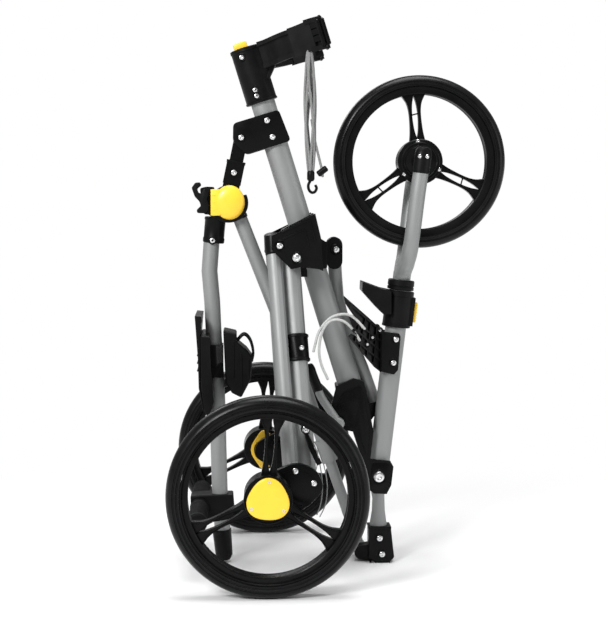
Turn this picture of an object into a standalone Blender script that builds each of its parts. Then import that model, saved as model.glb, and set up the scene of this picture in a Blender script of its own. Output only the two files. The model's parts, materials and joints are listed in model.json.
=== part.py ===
"""Folding three-wheel golf push trolley, folded and standing on its rear wheels.

Metres, +Z up, +X towards the front tube, the trolley's mid-plane is Y = 0. Left is +Y and right
is -Y. Side outlines are drawn in the X-Z plane from a point on the floor below the rear axle, and
given a width along Y. The finished trolley is then moved so that its origin is on the floor in
the middle of its footprint.
"""
import math

import bmesh
import bpy
from mathutils import Matrix, Vector

# ---------------------------------------------------------------- driving dimensions
GAP = 0.0003                     # clearance between pieces that touch
BOLT_R = 0.005

REAR_WHEEL_R = 0.145
REAR_WHEEL_Y = 0.210             # wheel mid-plane
REAR_TYRE_HALF_W = 0.0185
REAR_SEAT_R, REAR_RIM_R = 0.1250, 0.1135
REAR_HUB_R, REAR_BOSS_R = 0.0342, 0.0175
REAR_AXLE_R = 0.006
CAP_R, CAP_SWELL = 0.0300, 0.0020
FRONT_WHEEL_R = 0.132
FRONT_TYRE_HALF_W = 0.018
FRONT_SEAT_R, FRONT_RIM_R, FRONT_HUB_R = 0.1180, 0.1030, 0.0340
FRONT_AXLE_R = 0.005
FRONT_AXLE = (0.236, 0.622)

SPINE_TILT = math.radians(17.2)  # main tube, from vertical
SPINE_ORIGIN = (0.000, 0.700)
SPINE_R, SPINE_HALF_Y = 0.0185, 0.0150
SPINE_TOP_S, SPINE_END_S = -0.080, 0.460

LEG_PIVOT = (0.045, 0.478)       # rear legs on the hub
LINK_PIVOT = (0.020, 0.496)      # parallel links on the hub
LEG_FOOT = (0.067, 0.157)        # leg's lower pin
LINK_FOOT = (0.040, 0.175)       # link's lower pin
LEG_R, LINK_R = 0.0145, 0.0115
CROSSBAR = (0.036, 0.344)        # bar between the legs
CROSSBAR_R = 0.006
OPEN_PIVOT_PLAY = 0.0030         # play where a closed linkage is opened

ARM_PIVOT = (-0.037, 0.658)
HANDLE_PIVOT = (-0.0575, 0.560)
KNOB_R = 0.026
KNOB_TONGUE_X, KNOB_TONGUE_HALF_Z = -0.0835, 0.0200
KNOB_TONGUE_ANGLES = (-128.0, 122.0)  # round part of the knob, anticlockwise
STEM_R = 0.0125
GRIP_AXIS = (-0.1030, 0.0900)
GRIP_R = 0.0140
GRIP_HALF_Y = 0.130

FRONT_PIVOT = (0.1743, 0.1369)   # front tube on the lower casting
FRONT_TILT = math.radians(6.7)
FRONT_R, FRONT_HALF_Y = 0.0163, 0.0145
STRUT_FOOT = (0.149, 0.014)      # folding strut on the front tube's foot
STRUT_Y = 0.034
STRUT_OUTER_R, STRUT_INNER_R = 0.0105, 0.0085

BRACE_Y, BRACE_R = 0.0255, 0.0105
CASTING_HALF_Y, FORK_SLOT_Y = 0.0225, 0.0175
PIN_R = 0.0035
PIN_HEAD_R, PIN_HEAD_H = 0.0065, 0.0022
SPOKE_ANGLES_REAR = (86.5, 206.5, 326.5)
SPOKE_ANGLES_FRONT = (95.5, 215.5, 335.5)

TUBE_GREY = ((0.36, 0.37, 0.38), 0.35, 0.75)
BLACK = ((0.02, 0.02, 0.022), 0.5, 0.0)
TYRE_BLACK = ((0.012, 0.012, 0.013), 0.7, 0.0)
YELLOW = ((1.0, 0.66, 0.05), 0.4, 0.0)
CORD_GREY = ((0.55, 0.56, 0.55), 0.8, 0.0)
STEEL = ((0.75, 0.75, 0.76), 0.25, 1.0)


FOOTPRINT_X = (FRONT_AXLE[0] + FRONT_WHEEL_R - REAR_WHEEL_R) / 2


# ---------------------------------------------------------------- scene helpers
def clear_scene():
    for obj in list(bpy.data.objects):
        bpy.data.objects.remove(obj, do_unlink=True)


def new_collection(name):
    collection = bpy.data.collections.new(name)
    bpy.context.scene.collection.children.link(collection)
    return collection


clear_scene()
PARTS = new_collection("golf_push_trolley")
CUTTERS = new_collection("cutters")


def material(name, look):
    mat = bpy.data.materials.new(name)
    mat.use_nodes = True
    shader = mat.node_tree.nodes["Principled BSDF"]
    color, roughness, metallic = look
    shader.inputs["Base Color"].default_value = (*color, 1.0)
    shader.inputs["Roughness"].default_value = roughness
    shader.inputs["Metallic"].default_value = metallic
    return mat


def mesh_object(name, mesh):
    """A new object that is only a shape so far: it waits with the cutters until it is made a part."""
    obj = bpy.data.objects.new(name, mesh)
    CUTTERS.objects.link(obj)
    obj.hide_render = True
    obj.display_type = "WIRE"
    return obj


def part(obj, name, look, pivot=None):
    """Make the shape a sub-part. A moving piece gets its origin on its joint's axis."""
    CUTTERS.objects.unlink(obj)
    PARTS.objects.link(obj)
    obj.hide_render = False
    obj.display_type = "TEXTURED"
    obj.name = name
    obj.data.materials.clear()
    obj.data.materials.append(material(name, look))
    if pivot is not None:
        offset = Matrix.Translation(Vector(pivot))
        obj.data.transform(offset.inverted() @ obj.matrix_world)
        obj.matrix_world = offset
    return obj


def boolean(obj, other, operation):
    modifier = obj.modifiers.new(operation.lower(), "BOOLEAN")
    modifier.operation = operation
    modifier.solver = "EXACT"
    modifier.object = other
    return obj


def cut(obj, *others):
    for other in others:
        boolean(obj, other, "DIFFERENCE")
    return obj


def join(obj, *others):
    for other in others:
        boolean(obj, other, "UNION")
    return obj


def bevel(obj, width, segments=1):
    modifier = obj.modifiers.new("edge", "BEVEL")
    modifier.width = width
    modifier.segments = segments
    modifier.limit_method = "ANGLE"
    modifier.angle_limit = math.radians(40)
    return obj


def smooth(obj, angle=40):
    obj.data.shade_smooth()
    obj.data.set_sharp_from_angle(angle=math.radians(angle))
    return obj


# ---------------------------------------------------------------- shapes
def from_curve(name, curve, matrix=Matrix()):
    """Turn a curve into a welded mesh object."""
    source = bpy.data.objects.new(name + "_curve", curve)
    bpy.context.scene.collection.objects.link(source)
    bpy.context.view_layer.update()
    evaluated = source.evaluated_get(bpy.context.evaluated_depsgraph_get())
    mesh = bpy.data.meshes.new_from_object(evaluated)
    mesh.transform(matrix)
    bpy.data.objects.remove(source, do_unlink=True)
    solid = bmesh.new()
    solid.from_mesh(mesh)
    bmesh.ops.remove_doubles(solid, verts=solid.verts, dist=0.00002)
    bmesh.ops.recalc_face_normals(solid, faces=solid.faces)
    solid.to_mesh(mesh)
    solid.free()
    return mesh_object(name, mesh)


def tube(name, points, radius, half_y=None, radii=None, resolution=6):
    """A solid rod along points (x, y, z); half_y flattens its section along Y."""
    curve = bpy.data.curves.new(name, "CURVE")
    curve.dimensions = "3D"
    curve.bevel_depth = radius
    curve.bevel_resolution = resolution
    curve.use_fill_caps = True
    flatten = 1.0 if half_y is None else half_y / radius
    middle = points[0][1] if half_y is not None else 0.0
    spline = curve.splines.new("POLY")
    spline.points.add(len(points) - 1)
    for index, (x, y, z) in enumerate(points):
        spline.points[index].co = (x, (y - middle) / flatten, z, 1.0)
        spline.points[index].radius = 1.0 if radii is None else radii[index] / radius
    squash = Matrix.Translation((0, middle, 0)) @ Matrix.Diagonal((1, flatten, 1, 1))
    return smooth(from_curve(name, curve, squash))


def side_tube(name, points, radius, half_y=None, y=0.0, radii=None, resolution=6):
    """A rod along points (x, z) in a plane of constant Y."""
    return tube(name, [(x, y, z) for x, z in points], radius, half_y, radii, resolution)


def plate(name, outline, y0, y1, edge=0.0, holes=()):
    """A flat outline of (x, z) points, filled and given the width y0 to y1."""
    curve = bpy.data.curves.new(name, "CURVE")
    curve.dimensions = "2D"
    curve.fill_mode = "BOTH"
    curve.extrude = abs(y1 - y0) / 2
    for loop in (outline, *holes):
        spline = curve.splines.new("POLY")
        spline.points.add(len(loop) - 1)
        for point, (x, z) in zip(spline.points, loop):
            point.co = (x, z, 0.0, 1.0)
        spline.use_cyclic_u = True
    upright = Matrix.Translation((0, (y0 + y1) / 2, 0)) @ Matrix.Rotation(math.radians(90), 4, "X")
    obj = from_curve(name, curve, upright)
    if edge > 0:
        bevel(obj, edge)
    return smooth(obj)


def pin(name, centre, y0, y1, radius, sides=16):
    """A cylinder along Y."""
    mesh = bpy.data.meshes.new(name)
    solid = bmesh.new()
    bmesh.ops.create_cone(solid, cap_ends=True, segments=sides, radius1=radius, radius2=radius,
                          depth=abs(y1 - y0))
    upright = Matrix.Translation((centre[0], (y0 + y1) / 2, centre[1])) @ Matrix.Rotation(
        math.radians(90), 4, "X")
    bmesh.ops.transform(solid, matrix=upright, verts=solid.verts)
    solid.to_mesh(mesh)
    solid.free()
    return smooth(mesh_object(name, mesh))


def box(name, centre, size, tilt=0.0, edge=0.0):
    """A box; tilt turns it about Y."""
    mesh = bpy.data.meshes.new(name)
    solid = bmesh.new()
    bmesh.ops.create_cube(solid, size=1.0)
    place = (Matrix.Translation(centre) @ Matrix.Rotation(tilt, 4, "Y")
             @ Matrix.Diagonal((*size, 1)))
    bmesh.ops.transform(solid, matrix=place, verts=solid.verts)
    solid.to_mesh(mesh)
    solid.free()
    obj = mesh_object(name, mesh)
    if edge > 0:
        bevel(obj, edge, 2)
    return smooth(obj)


def turned(name, profile, centre, y, steps=40, flip=1):
    """A closed ring profile of (radius, offset from y) turned about the Y axis through centre."""
    mesh = bpy.data.meshes.new(name)
    solid = bmesh.new()
    verts = [solid.verts.new((radius, 0, offset)) for radius, offset in profile]
    for first, second in zip(verts, verts[1:] + verts[:1]):
        solid.edges.new((first, second))
    solid.to_mesh(mesh)
    solid.free()
    obj = mesh_object(name, mesh)
    obj.matrix_world = Matrix.Translation((centre[0], y, centre[1])) @ Matrix.Rotation(
        math.radians(90 * flip), 4, "X")
    screw = obj.modifiers.new("turn", "SCREW")
    screw.axis = "Z"
    screw.angle = math.tau
    screw.steps = steps
    screw.render_steps = steps
    screw.use_merge_vertices = True
    screw.merge_threshold = 0.00001
    screw.use_smooth_shade = True
    return obj


# ---------------------------------------------------------------- outline helpers
def circle(centre, radius, count=16):
    steps = [math.tau * i / count for i in range(count)]
    return [(centre[0] + radius * math.cos(a), centre[1] + radius * math.sin(a)) for a in steps]


def hull(*circles, count=20):
    """Convex outline around circles given as (x, z, radius)."""
    points = sorted({p for x, z, r in circles for p in circle((x, z), r, count)})

    def half(sequence):
        chain = []
        for point in sequence:
            while len(chain) > 1:
                (ax, az), (bx, bz) = chain[-2], chain[-1]
                if (bx - ax) * (point[1] - az) - (bz - az) * (point[0] - ax) > 1e-12:
                    break
                chain.pop()
            chain.append(point)
        return chain[:-1]

    return half(points) + half(points[::-1])


def spine(s, t=0.0):
    """(x, z) at the distance s down the main tube and t towards its bag side."""
    sine, cosine = math.sin(SPINE_TILT), math.cos(SPINE_TILT)
    return (SPINE_ORIGIN[0] + s * sine + t * cosine, SPINE_ORIGIN[1] - s * cosine + t * sine)


def front(s, t=0.0):
    """(x, z) at the distance s up the front tube from its pivot and t away from the main tube."""
    sine, cosine = math.sin(FRONT_TILT), math.cos(FRONT_TILT)
    return (FRONT_PIVOT[0] + s * sine + t * cosine, FRONT_PIVOT[1] + s * cosine - t * sine)


def between(first, second, distance, side=0.0):
    """The point at a distance from first towards second, moved sideways by side."""
    dx, dz = second[0] - first[0], second[1] - first[1]
    length = math.hypot(dx, dz)
    ux, uz = dx / length, dz / length
    return (first[0] + ux * distance - uz * side, first[1] + uz * distance + ux * side)


def ribbon(path, half):
    """Outline of a strip of constant width along a path of points."""
    left, right = [], []
    for index, (px, pz) in enumerate(path):
        ax, az = path[max(index - 1, 0)]
        bx, bz = path[min(index + 1, len(path) - 1)]
        length = math.hypot(bx - ax, bz - az)
        nx, nz = -(bz - az) / length * half, (bx - ax) / length * half
        left.append((px + nx, pz + nz))
        right.append((px - nx, pz - nz))
    return left + right[::-1]


def side_name(side):
    return "left" if side > 0 else "right"


def point3(xz, y=0.0):
    return (xz[0], y, xz[1])


# ---------------------------------------------------------------- fixed frame
def spine_bore(name, s0, s1):
    return side_tube(name, [spine(s0), spine(s1)], SPINE_R + GAP, SPINE_HALF_Y + GAP, resolution=8)


def make_main_tube():
    body = side_tube("spine", [spine(SPINE_TOP_S), spine(SPINE_END_S)], SPINE_R, SPINE_HALF_Y,
                     resolution=8)
    part(body, "main_tube", TUBE_GREY)


def make_upper_bracket():
    top_s, foot_s = -0.0985, -0.0135
    body = side_tube("collar", [spine(top_s, -0.001), spine(foot_s, -0.001)], 0.0240, 0.0205,
                     resolution=7)
    root = plate("root", [spine(top_s + 0.001, 0.008), spine(top_s + 0.001, 0.036),
                          spine(-0.061, 0.036), spine(-0.043, 0.020), spine(-0.043, 0.008)],
                 -0.016, 0.016)
    well = box("button_well", point3(spine(-0.0980, -0.0075)), (0.0218, 0.0186, 0.0135), -SPINE_TILT)
    join(body, root)
    cut(body, spine_bore("bore", SPINE_TOP_S - GAP, foot_s + 0.01), well)
    part(body, "upper_bracket", BLACK)

    button_travel_centre = spine(-0.1020, -0.0075)
    button = box("button", point3(button_travel_centre), (0.0210, 0.0178, 0.0130), -SPINE_TILT, 0.002)
    part(button, "upper_button", YELLOW, point3(button_travel_centre))


def bag_arm_path():
    """Plan of one cradle arm: distance t from the main tube and distance from the mid-plane."""
    return [(0.0180, 0.0205), (0.0320, 0.0265), (0.0470, 0.0470), (0.0600, 0.0600),
            (0.0760, 0.0660), (0.0900, 0.0780), (0.1020, 0.0900), (0.1150, 0.0940)]


def make_bag_arms():
    """The arms are outlines in the plane square to the main tube, extruded along it."""
    s_top, s_foot, half = -0.0985, -0.0615, 0.0040
    for side in (1, -1):
        outline = ribbon([(t, y * side) for t, y in bag_arm_path()], half)
        arm = plate("arm", outline, -(s_foot - s_top) / 2, (s_foot - s_top) / 2, 0.001)
        lay = (Matrix.Translation(point3(spine((s_top + s_foot) / 2)))
               @ Matrix.Rotation(-SPINE_TILT, 4, "Y") @ Matrix.Rotation(math.radians(-90), 4, "X"))
        arm.data.transform(lay)
        part(arm, "bag_arm_" + side_name(side), BLACK)


def make_frame_plates():
    outline = [(-0.0480, 0.6790), (0.0200, 0.7000), (0.0380, 0.6540), (-0.0300, 0.6330),
               (-0.0500, 0.6560)]
    for side in (1, -1):
        inner, outer = side * 0.0155, side * 0.0190
        body = plate("plate", outline, inner, outer, 0.0008)
        for s, t in ((0.0185, 0.0065), (0.0440, 0.0060)):
            join(body, pin("rivet", spine(s, t), side * 0.0180, side * 0.0208, 0.0050, 12))
        part(body, "frame_plate_" + side_name(side), BLACK)


def make_hub():
    """The hub clamps the main tube; the legs and links hang between its block and its cheeks."""
    block_half, cheek_in, cheek_out = 0.0188, 0.0720, 0.0765
    body = plate("block", [(0.0240, 0.4780), (0.0370, 0.4620), (0.0520, 0.4640), (0.0790, 0.4610),
                           (0.0850, 0.4580), (0.0940, 0.4600), (0.0940, 0.4990), (0.0820, 0.5060),
                           (0.0730, 0.5440), (0.0330, 0.5230), (0.0240, 0.5180)],
                 -block_half, block_half, 0.0010)
    web = plate("web", [(0.0640, 0.4640), (0.0790, 0.4620), (0.0850, 0.4590), (0.0810, 0.5060),
                        (0.0720, 0.5420), (0.0640, 0.5380)], -cheek_out, cheek_out)
    join(body, web)
    for side in (1, -1):
        cheek = plate("cheek", [(0.0080, 0.4900), (0.0220, 0.4760), (0.0370, 0.4610),
                                (0.0520, 0.4640), (0.0790, 0.4610), (0.0850, 0.4580),
                                (0.0820, 0.5060), (0.0730, 0.5440), (0.0330, 0.5230),
                                (0.0080, 0.5110)], side * cheek_in, side * cheek_out)
        join(body, cheek)
    join(body, box("latch", (0.0560, 0.0, 0.4560), (0.0150, 0.0240, 0.0200)))
    cut(body, spine_bore("bore", 0.10, 0.32), pin("hole", LEG_PIVOT, -0.08, 0.08, PIN_R + GAP))
    for side in (1, -1):
        join(body, pin("link_pin", LINK_PIVOT, side * 0.0460, side * (cheek_out + PIN_HEAD_H), PIN_R),
             pin("head", LINK_PIVOT, side * (cheek_out - 0.001), side * (cheek_out + PIN_HEAD_H),
                 PIN_HEAD_R, 12))
    part(body, "hub_casting", BLACK)

    outer = cheek_out + GAP
    shaft = pin("shaft", LEG_PIVOT, -outer - PIN_HEAD_H / 2, outer + PIN_HEAD_H / 2, PIN_R)
    join(shaft, pin("head", LEG_PIVOT, -outer - PIN_HEAD_H, -outer, PIN_HEAD_R, 12),
         pin("head", LEG_PIVOT, outer, outer + PIN_HEAD_H, PIN_HEAD_R, 12))
    part(shaft, "leg_pivot_pin", STEEL)


def make_brace():
    """A bent brace tube on the left flank of the main tube, from the hub's ear to the casting."""
    path = [(0.1070, 0.4840), (0.1090, 0.4480), (0.1120, 0.4100), (0.1200, 0.3790),
            (0.1340, 0.3400), (0.1510, 0.3010), (0.1700, 0.2480)]
    body = side_tube("brace", path, BRACE_R, y=BRACE_Y, resolution=4)
    part(body, "brace_tube", TUBE_GREY)

    inner, outer = BRACE_Y - 0.0125, BRACE_Y + 0.0125
    ear = plate("ear", hull((0.1070, 0.4940, 0.0125), (0.1070, 0.4690, 0.0125)), inner, outer, 0.001)
    foot_cut = box("trim", (0.1070, BRACE_Y, 0.4460), (0.05, 0.05, 0.0200))
    bore = side_tube("bore", [(0.10698, 0.48436), (0.1090, 0.4480), (0.1110, 0.4200)],
                     BRACE_R + GAP, y=BRACE_Y, resolution=4)
    rivet = pin("rivet", (0.1090, 0.4880), inner - PIN_HEAD_H, inner + 0.001, 0.0045, 12)
    cut(join(ear, rivet), foot_cut, bore)
    part(ear, "brace_cap", BLACK)


def make_lower_casting():
    """A sleeve on the main tube's end with two cheeks that hold the front tube's pivot."""
    body = plate("casting", [(0.1084, 0.2787), (0.1342, 0.2901), (0.1501, 0.2857), (0.1544, 0.2712),
                             (0.1655, 0.2074), (0.1610, 0.1650), (0.1919, 0.1613),
                             (0.1968, 0.1526), (0.1935, 0.1236), (0.1864, 0.1098),
                             (0.1663, 0.1108), (0.1575, 0.1181), (0.1480, 0.1650),
                             (0.1344, 0.2076), (0.1186, 0.2106), (0.0955, 0.2310)],
                 -CASTING_HALF_Y, CASTING_HALF_Y)
    slot = plate("slot", [(0.1750, 0.2060), (0.1254, 0.2154), (0.1091, 0.2680), (0.1060, 0.2900),
                          (0.0800, 0.2900), (0.0800, 0.0900), (0.2100, 0.0900), (0.2100, 0.2060)],
                 -FORK_SLOT_Y, FORK_SLOT_Y)
    left_lobe = plate("left_lobe", [(0.1350, 0.2000), (0.1240, 0.2230), (0.1088, 0.2700),
                                    (0.1060, 0.2900), (0.0800, 0.2900), (0.0800, 0.2000)],
                      FORK_SLOT_Y - 0.001, 0.0300)
    cut(body, slot, left_lobe)
    foot = plate("foot", hull((0.1690, 0.2420, 0.0115), (0.1560, 0.2200, 0.0080)),
                 0.0205, BRACE_Y + 0.0130)
    join(body, foot)
    cut(body, spine_bore("bore", 0.42, SPINE_END_S + GAP),
        pin("hole", FRONT_PIVOT, -0.03, 0.03, BOLT_R + GAP),
        side_tube("bore", [(0.1510, 0.3010), (0.1702, 0.2474)], BRACE_R + GAP, y=BRACE_Y,
                  resolution=4))
    part(body, "lower_casting", BLACK)

    outer = CASTING_HALF_Y + GAP
    bolt = pin("bolt", FRONT_PIVOT, -outer - 0.002, outer + 0.002, BOLT_R)
    join(bolt, pin("head", FRONT_PIVOT, -outer - 0.004, -outer, 0.0085),
         pin("nut", FRONT_PIVOT, outer, outer + 0.005, 0.0085, 6))
    part(bolt, "front_pivot_bolt", STEEL)


def make_fold_catch():
    """A short catch arm on the casting's right side that holds the folded legs."""
    pivot, y = (0.1114, 0.2222), -0.0300
    arm = side_tube("arm", [pivot, (0.0845, 0.2620), (0.0790, 0.2760)], 0.0062, y=y, resolution=3)
    join(arm, pin("eye", pivot, y - 0.0066, y + 0.0068, 0.0085),
         plate("tip", hull((0.0785, 0.2790, 0.0070), (0.0665, 0.3120, 0.0064), count=14),
               y - 0.0070, y + 0.0070))
    part(arm, "fold_catch", TUBE_GREY, point3(pivot, y))


# ---------------------------------------------------------------- rear legs and wheels
def leg_point(xz_top, xz_foot, y_top, y_foot, z):
    share = (xz_top[1] - z) / (xz_top[1] - xz_foot[1])
    return (xz_top[0] + share * (xz_foot[0] - xz_top[0]), y_top + share * (y_foot - y_top), z)


LEG_TOP, LEG_END = (0.0360, 0.4900), (0.0590, 0.1520)
LEG_TOP_Y, LEG_END_Y = 0.0360, 0.1300
LINK_TOP, LINK_END = (0.0100, 0.5100), (0.0330, 0.1780)
LINK_TOP_Y, LINK_END_Y = 0.0485, 0.1420


def leg_at(side, z):
    x, y, z = leg_point(LEG_TOP, LEG_END, LEG_TOP_Y, LEG_END_Y, z)
    return (x, side * y, z)


def link_at(side, z):
    x, y, z = leg_point(LINK_TOP, LINK_END, LINK_TOP_Y, LINK_END_Y, z)
    return (x, side * y, z)


def make_leg(side):
    name = side_name(side)
    leg = tube("leg", [leg_at(side, LEG_TOP[1]), leg_at(side, LEG_END[1])], LEG_R, resolution=5)
    join(leg, pin("foot", LEG_FOOT, side * 0.1280, side * 0.1466, 0.0105))
    cut(leg, pin("hole", LEG_PIVOT, side * 0.010, side * 0.070, PIN_R + GAP))
    part(leg, "leg_" + name, TUBE_GREY, point3(LEG_PIVOT))

    link = tube("link", [link_at(side, LINK_TOP[1] - 0.001), link_at(side, LINK_END[1])], LINK_R,
                resolution=4)
    join(link, pin("boss", LINK_PIVOT, side * 0.0518, side * 0.0700, 0.0090),
         pin("foot", LINK_FOOT, side * 0.1420, side * 0.1570, 0.0090))
    cut(link, pin("hole", LINK_PIVOT, side * 0.030, side * 0.075, PIN_R + GAP))
    part(link, "leg_link_" + name, TUBE_GREY, point3(LINK_PIVOT))


def make_leg_crossbar():
    """A ring on each leg and the bar between them that drives the folding struts."""
    body = pin("bar", CROSSBAR, -0.066, 0.066, CROSSBAR_R, 12)
    for side in (1, -1):
        ring = tube("ring", [leg_at(side, 0.3620), leg_at(side, 0.3230)], LEG_R + 0.0028,
                    resolution=5)
        join(body, ring)
    for side in (1, -1):
        cut(body, tube("bore", [leg_at(side, 0.3900), leg_at(side, 0.2900)], LEG_R + GAP,
                       resolution=5))
    part(body, "leg_crossbar", BLACK, point3(LEG_PIVOT))


def make_carrier(side):
    """The axle carrier: an oval plate outside the leg's foot, with a boss towards the leg."""
    name, inner, outer = side_name(side), 0.1575, 0.1725
    body = plate("carrier", hull((0.0, REAR_WHEEL_R, 0.018), (0.040, 0.166, 0.020),
                                 (0.061, 0.152, 0.019), (0.040, 0.130, 0.018)),
                 side * inner, side * outer, 0.0015)
    boss = pin("boss", LEG_FOOT, side * (LEG_END_Y + 0.0170), side * (inner + 0.002), 0.0105)
    screws = [pin("screw", centre, side * (outer - 0.001), side * (outer + 0.0018), 0.0045, 12)
              for centre in (LEG_FOOT, LINK_FOOT)]
    axle = pin("axle", (0.0, REAR_WHEEL_R), side * (outer - 0.002), side * 0.2320,
               REAR_AXLE_R)
    join(body, boss, axle, *screws)
    part(body, "axle_carrier_" + name, BLACK, point3(LEG_FOOT, side * inner))


def make_brake_lever(side):
    foot = leg_at(side, 0.2294)
    path = [(0.0563, foot[1] + side * 0.0200, 0.2294), (0.0650, foot[1] + side * 0.0270, 0.2020),
            (0.0765, foot[1] + side * 0.0345, 0.1790)]
    lever = tube("lever", path, 0.0042, resolution=2)
    bolt = pin("bolt", (0.0563, 0.2294), foot[1] + side * 0.0177, foot[1] + side * 0.0265, 0.0070, 12)
    join(lever, bolt)
    part(lever, "brake_lever_" + side_name(side), BLACK, (0.0563, foot[1], 0.2294))


def spoke(name, centre, y, angle, root_r, tip_r, half_y):
    """A forked spoke with a long slot, flared where it meets the hub and the rim."""
    waist = root_r + 0.45 * (tip_r - root_r)
    sides = [(root_r - 0.006, 0.0155), (root_r + 0.012, 0.0095), (waist, 0.0070),
             (tip_r - 0.022, 0.0090), (tip_r - 0.008, 0.0165), (tip_r + 0.004, 0.0230)]
    outline = sides + [(r, -w) for r, w in sides[::-1]]
    slot = [(root_r + 0.006, 0.0), (waist - 0.010, 0.0032), (waist + 0.012, 0.0042),
            (tip_r - 0.004, 0.0)]
    slot += [(waist + 0.012, -0.0042), (waist - 0.010, -0.0032)]
    cosine, sine = math.cos(math.radians(angle)), math.sin(math.radians(angle))

    def placed(points):
        return [(centre[0] + r * cosine - w * sine, centre[1] + r * sine + w * cosine)
                for r, w in points]

    return plate(name, placed(outline), y - half_y, y + half_y, holes=[placed(slot)])


def make_wheel(names, centre, y, radius, half_w, seat_r, rim_r, bore_r, hub, angles):
    """Tyre and spoked rim. hub is (radius, first y, last y)."""
    tyre_name, rim_name = names
    bulge_r = radius - 0.010
    tyre = turned("tyre", [(radius - 0.004, half_w * 0.62), (radius, half_w * 0.25),
                           (radius, -half_w * 0.25), (radius - 0.004, -half_w * 0.62),
                           (bulge_r, -half_w), (seat_r + GAP, -half_w * 0.86),
                           (seat_r + GAP, half_w * 0.86), (bulge_r, half_w)], centre, y, 48)
    part(tyre, tyre_name, TYRE_BLACK)
    rim = turned("rim", [(seat_r, half_w * 0.80), (seat_r, -half_w * 0.80),
                         (rim_r, -half_w * 0.72), (rim_r + 0.002, -half_w * 0.2),
                         (rim_r + 0.002, half_w * 0.2), (rim_r, half_w * 0.72)], centre, y, 48)
    hub_r, hub_y0, hub_y1 = hub
    core = pin("core", centre, hub_y0, hub_y1, hub_r, 24)
    spokes = [spoke("spoke", centre, y, angle, hub_r, rim_r + 0.001, 0.0065) for angle in angles]
    for piece in spokes:
        join(core, piece)
    join(rim, core)
    cut(rim, pin("bore", centre, min(hub_y0, hub_y1) - 0.02, max(hub_y0, hub_y1) + 0.02,
                 bore_r + GAP))
    part(rim, rim_name, BLACK)
    return rim


def cap_outline(centre, count=36):
    """A circle swollen towards the three spokes."""
    points = []
    for index in range(count):
        angle = math.tau * index / count
        lobe = math.cos(3 * (angle - math.radians(SPOKE_ANGLES_REAR[0])))
        radius = CAP_R + CAP_SWELL * lobe
        points.append((centre[0] + radius * math.cos(angle), centre[1] + radius * math.sin(angle)))
    return points


def make_rear_wheel(side):
    name, centre = side_name(side), (0.0, REAR_WHEEL_R)
    rim = make_wheel(("rear_tyre_" + name, "rear_rim_" + name), centre, side * REAR_WHEEL_Y,
                     REAR_WHEEL_R, REAR_TYRE_HALF_W, REAR_SEAT_R, REAR_RIM_R, REAR_AXLE_R,
                     (REAR_HUB_R, side * 0.1880, side * 0.2300), SPOKE_ANGLES_REAR)
    join(rim, pin("boss", centre, side * 0.1770, side * 0.1890, REAR_BOSS_R))
    cut(rim, pin("bore", centre, side * 0.150, side * 0.25, REAR_AXLE_R + GAP))

    cap = plate("cap", cap_outline(centre), side * (0.2322 + GAP), side * 0.2370, 0.0015)
    part(cap, "wheel_cap_" + name, YELLOW, (0.0, side * REAR_WHEEL_Y, REAR_WHEEL_R))

    clip = plate("clip", hull((*centre, 0.0228), (0.0, 0.1680, 0.0100), (0.0, 0.1220, 0.0100)),
                 side * (0.1880 - GAP), side * 0.1815, 0.001)
    cut(clip, pin("hole", centre, side * 0.17, side * 0.20, REAR_BOSS_R + GAP, 20))
    part(clip, "quick_release_" + name, YELLOW, (0.0, side * 0.1850, REAR_WHEEL_R))


# ---------------------------------------------------------------- handle side
def make_arm():
    """The arm from the frame plates to the handle's hinge, ending in a fork around it."""
    far = between(ARM_PIVOT, HANDLE_PIVOT, -0.006)
    arm = plate("arm", hull((*far, 0.0105), (*between(ARM_PIVOT, HANDLE_PIVOT, 0.060), 0.0105)),
                -0.0130, 0.0130, 0.001)
    sleeve = plate("sleeve", [between(ARM_PIVOT, HANDLE_PIVOT, 0.036, -0.0137),
                              between(ARM_PIVOT, HANDLE_PIVOT, 0.036, 0.0137),
                              between(ARM_PIVOT, HANDLE_PIVOT, 0.072, 0.0137),
                              between(ARM_PIVOT, HANDLE_PIVOT, 0.072, -0.0137)], -0.0180, 0.0180)
    cheeks = plate("cheeks", hull((*between(ARM_PIVOT, HANDLE_PIVOT, 0.064), 0.0125),
                                  (*HANDLE_PIVOT, 0.0135)), -0.0176, 0.0176)
    rivet = between(ARM_PIVOT, HANDLE_PIVOT, 0.056)
    join(arm, sleeve, cheeks,
         pin("rivet", rivet, -0.0200, -0.0170, 0.0045, 12),
         pin("rivet", rivet, 0.0170, 0.0200, 0.0045, 12))
    cut(arm, pin("slot", HANDLE_PIVOT, -0.0130, 0.0130, 0.0295, 32),
        pin("hole", HANDLE_PIVOT, -0.03, 0.03, BOLT_R + GAP))
    join(arm, pin("shaft", ARM_PIVOT, -0.0205, 0.0205, PIN_R),
         pin("head", ARM_PIVOT, -0.0216, -0.0193, PIN_HEAD_R, 12),
         pin("head", ARM_PIVOT, 0.0193, 0.0216, PIN_HEAD_R, 12))
    part(arm, "arm_link", BLACK, point3(ARM_PIVOT))

    for side in (1, -1):
        cut(bpy.data.objects["frame_plate_" + side_name(side)],
            pin("hole", ARM_PIVOT, -0.03, 0.03, PIN_R + GAP))


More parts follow.
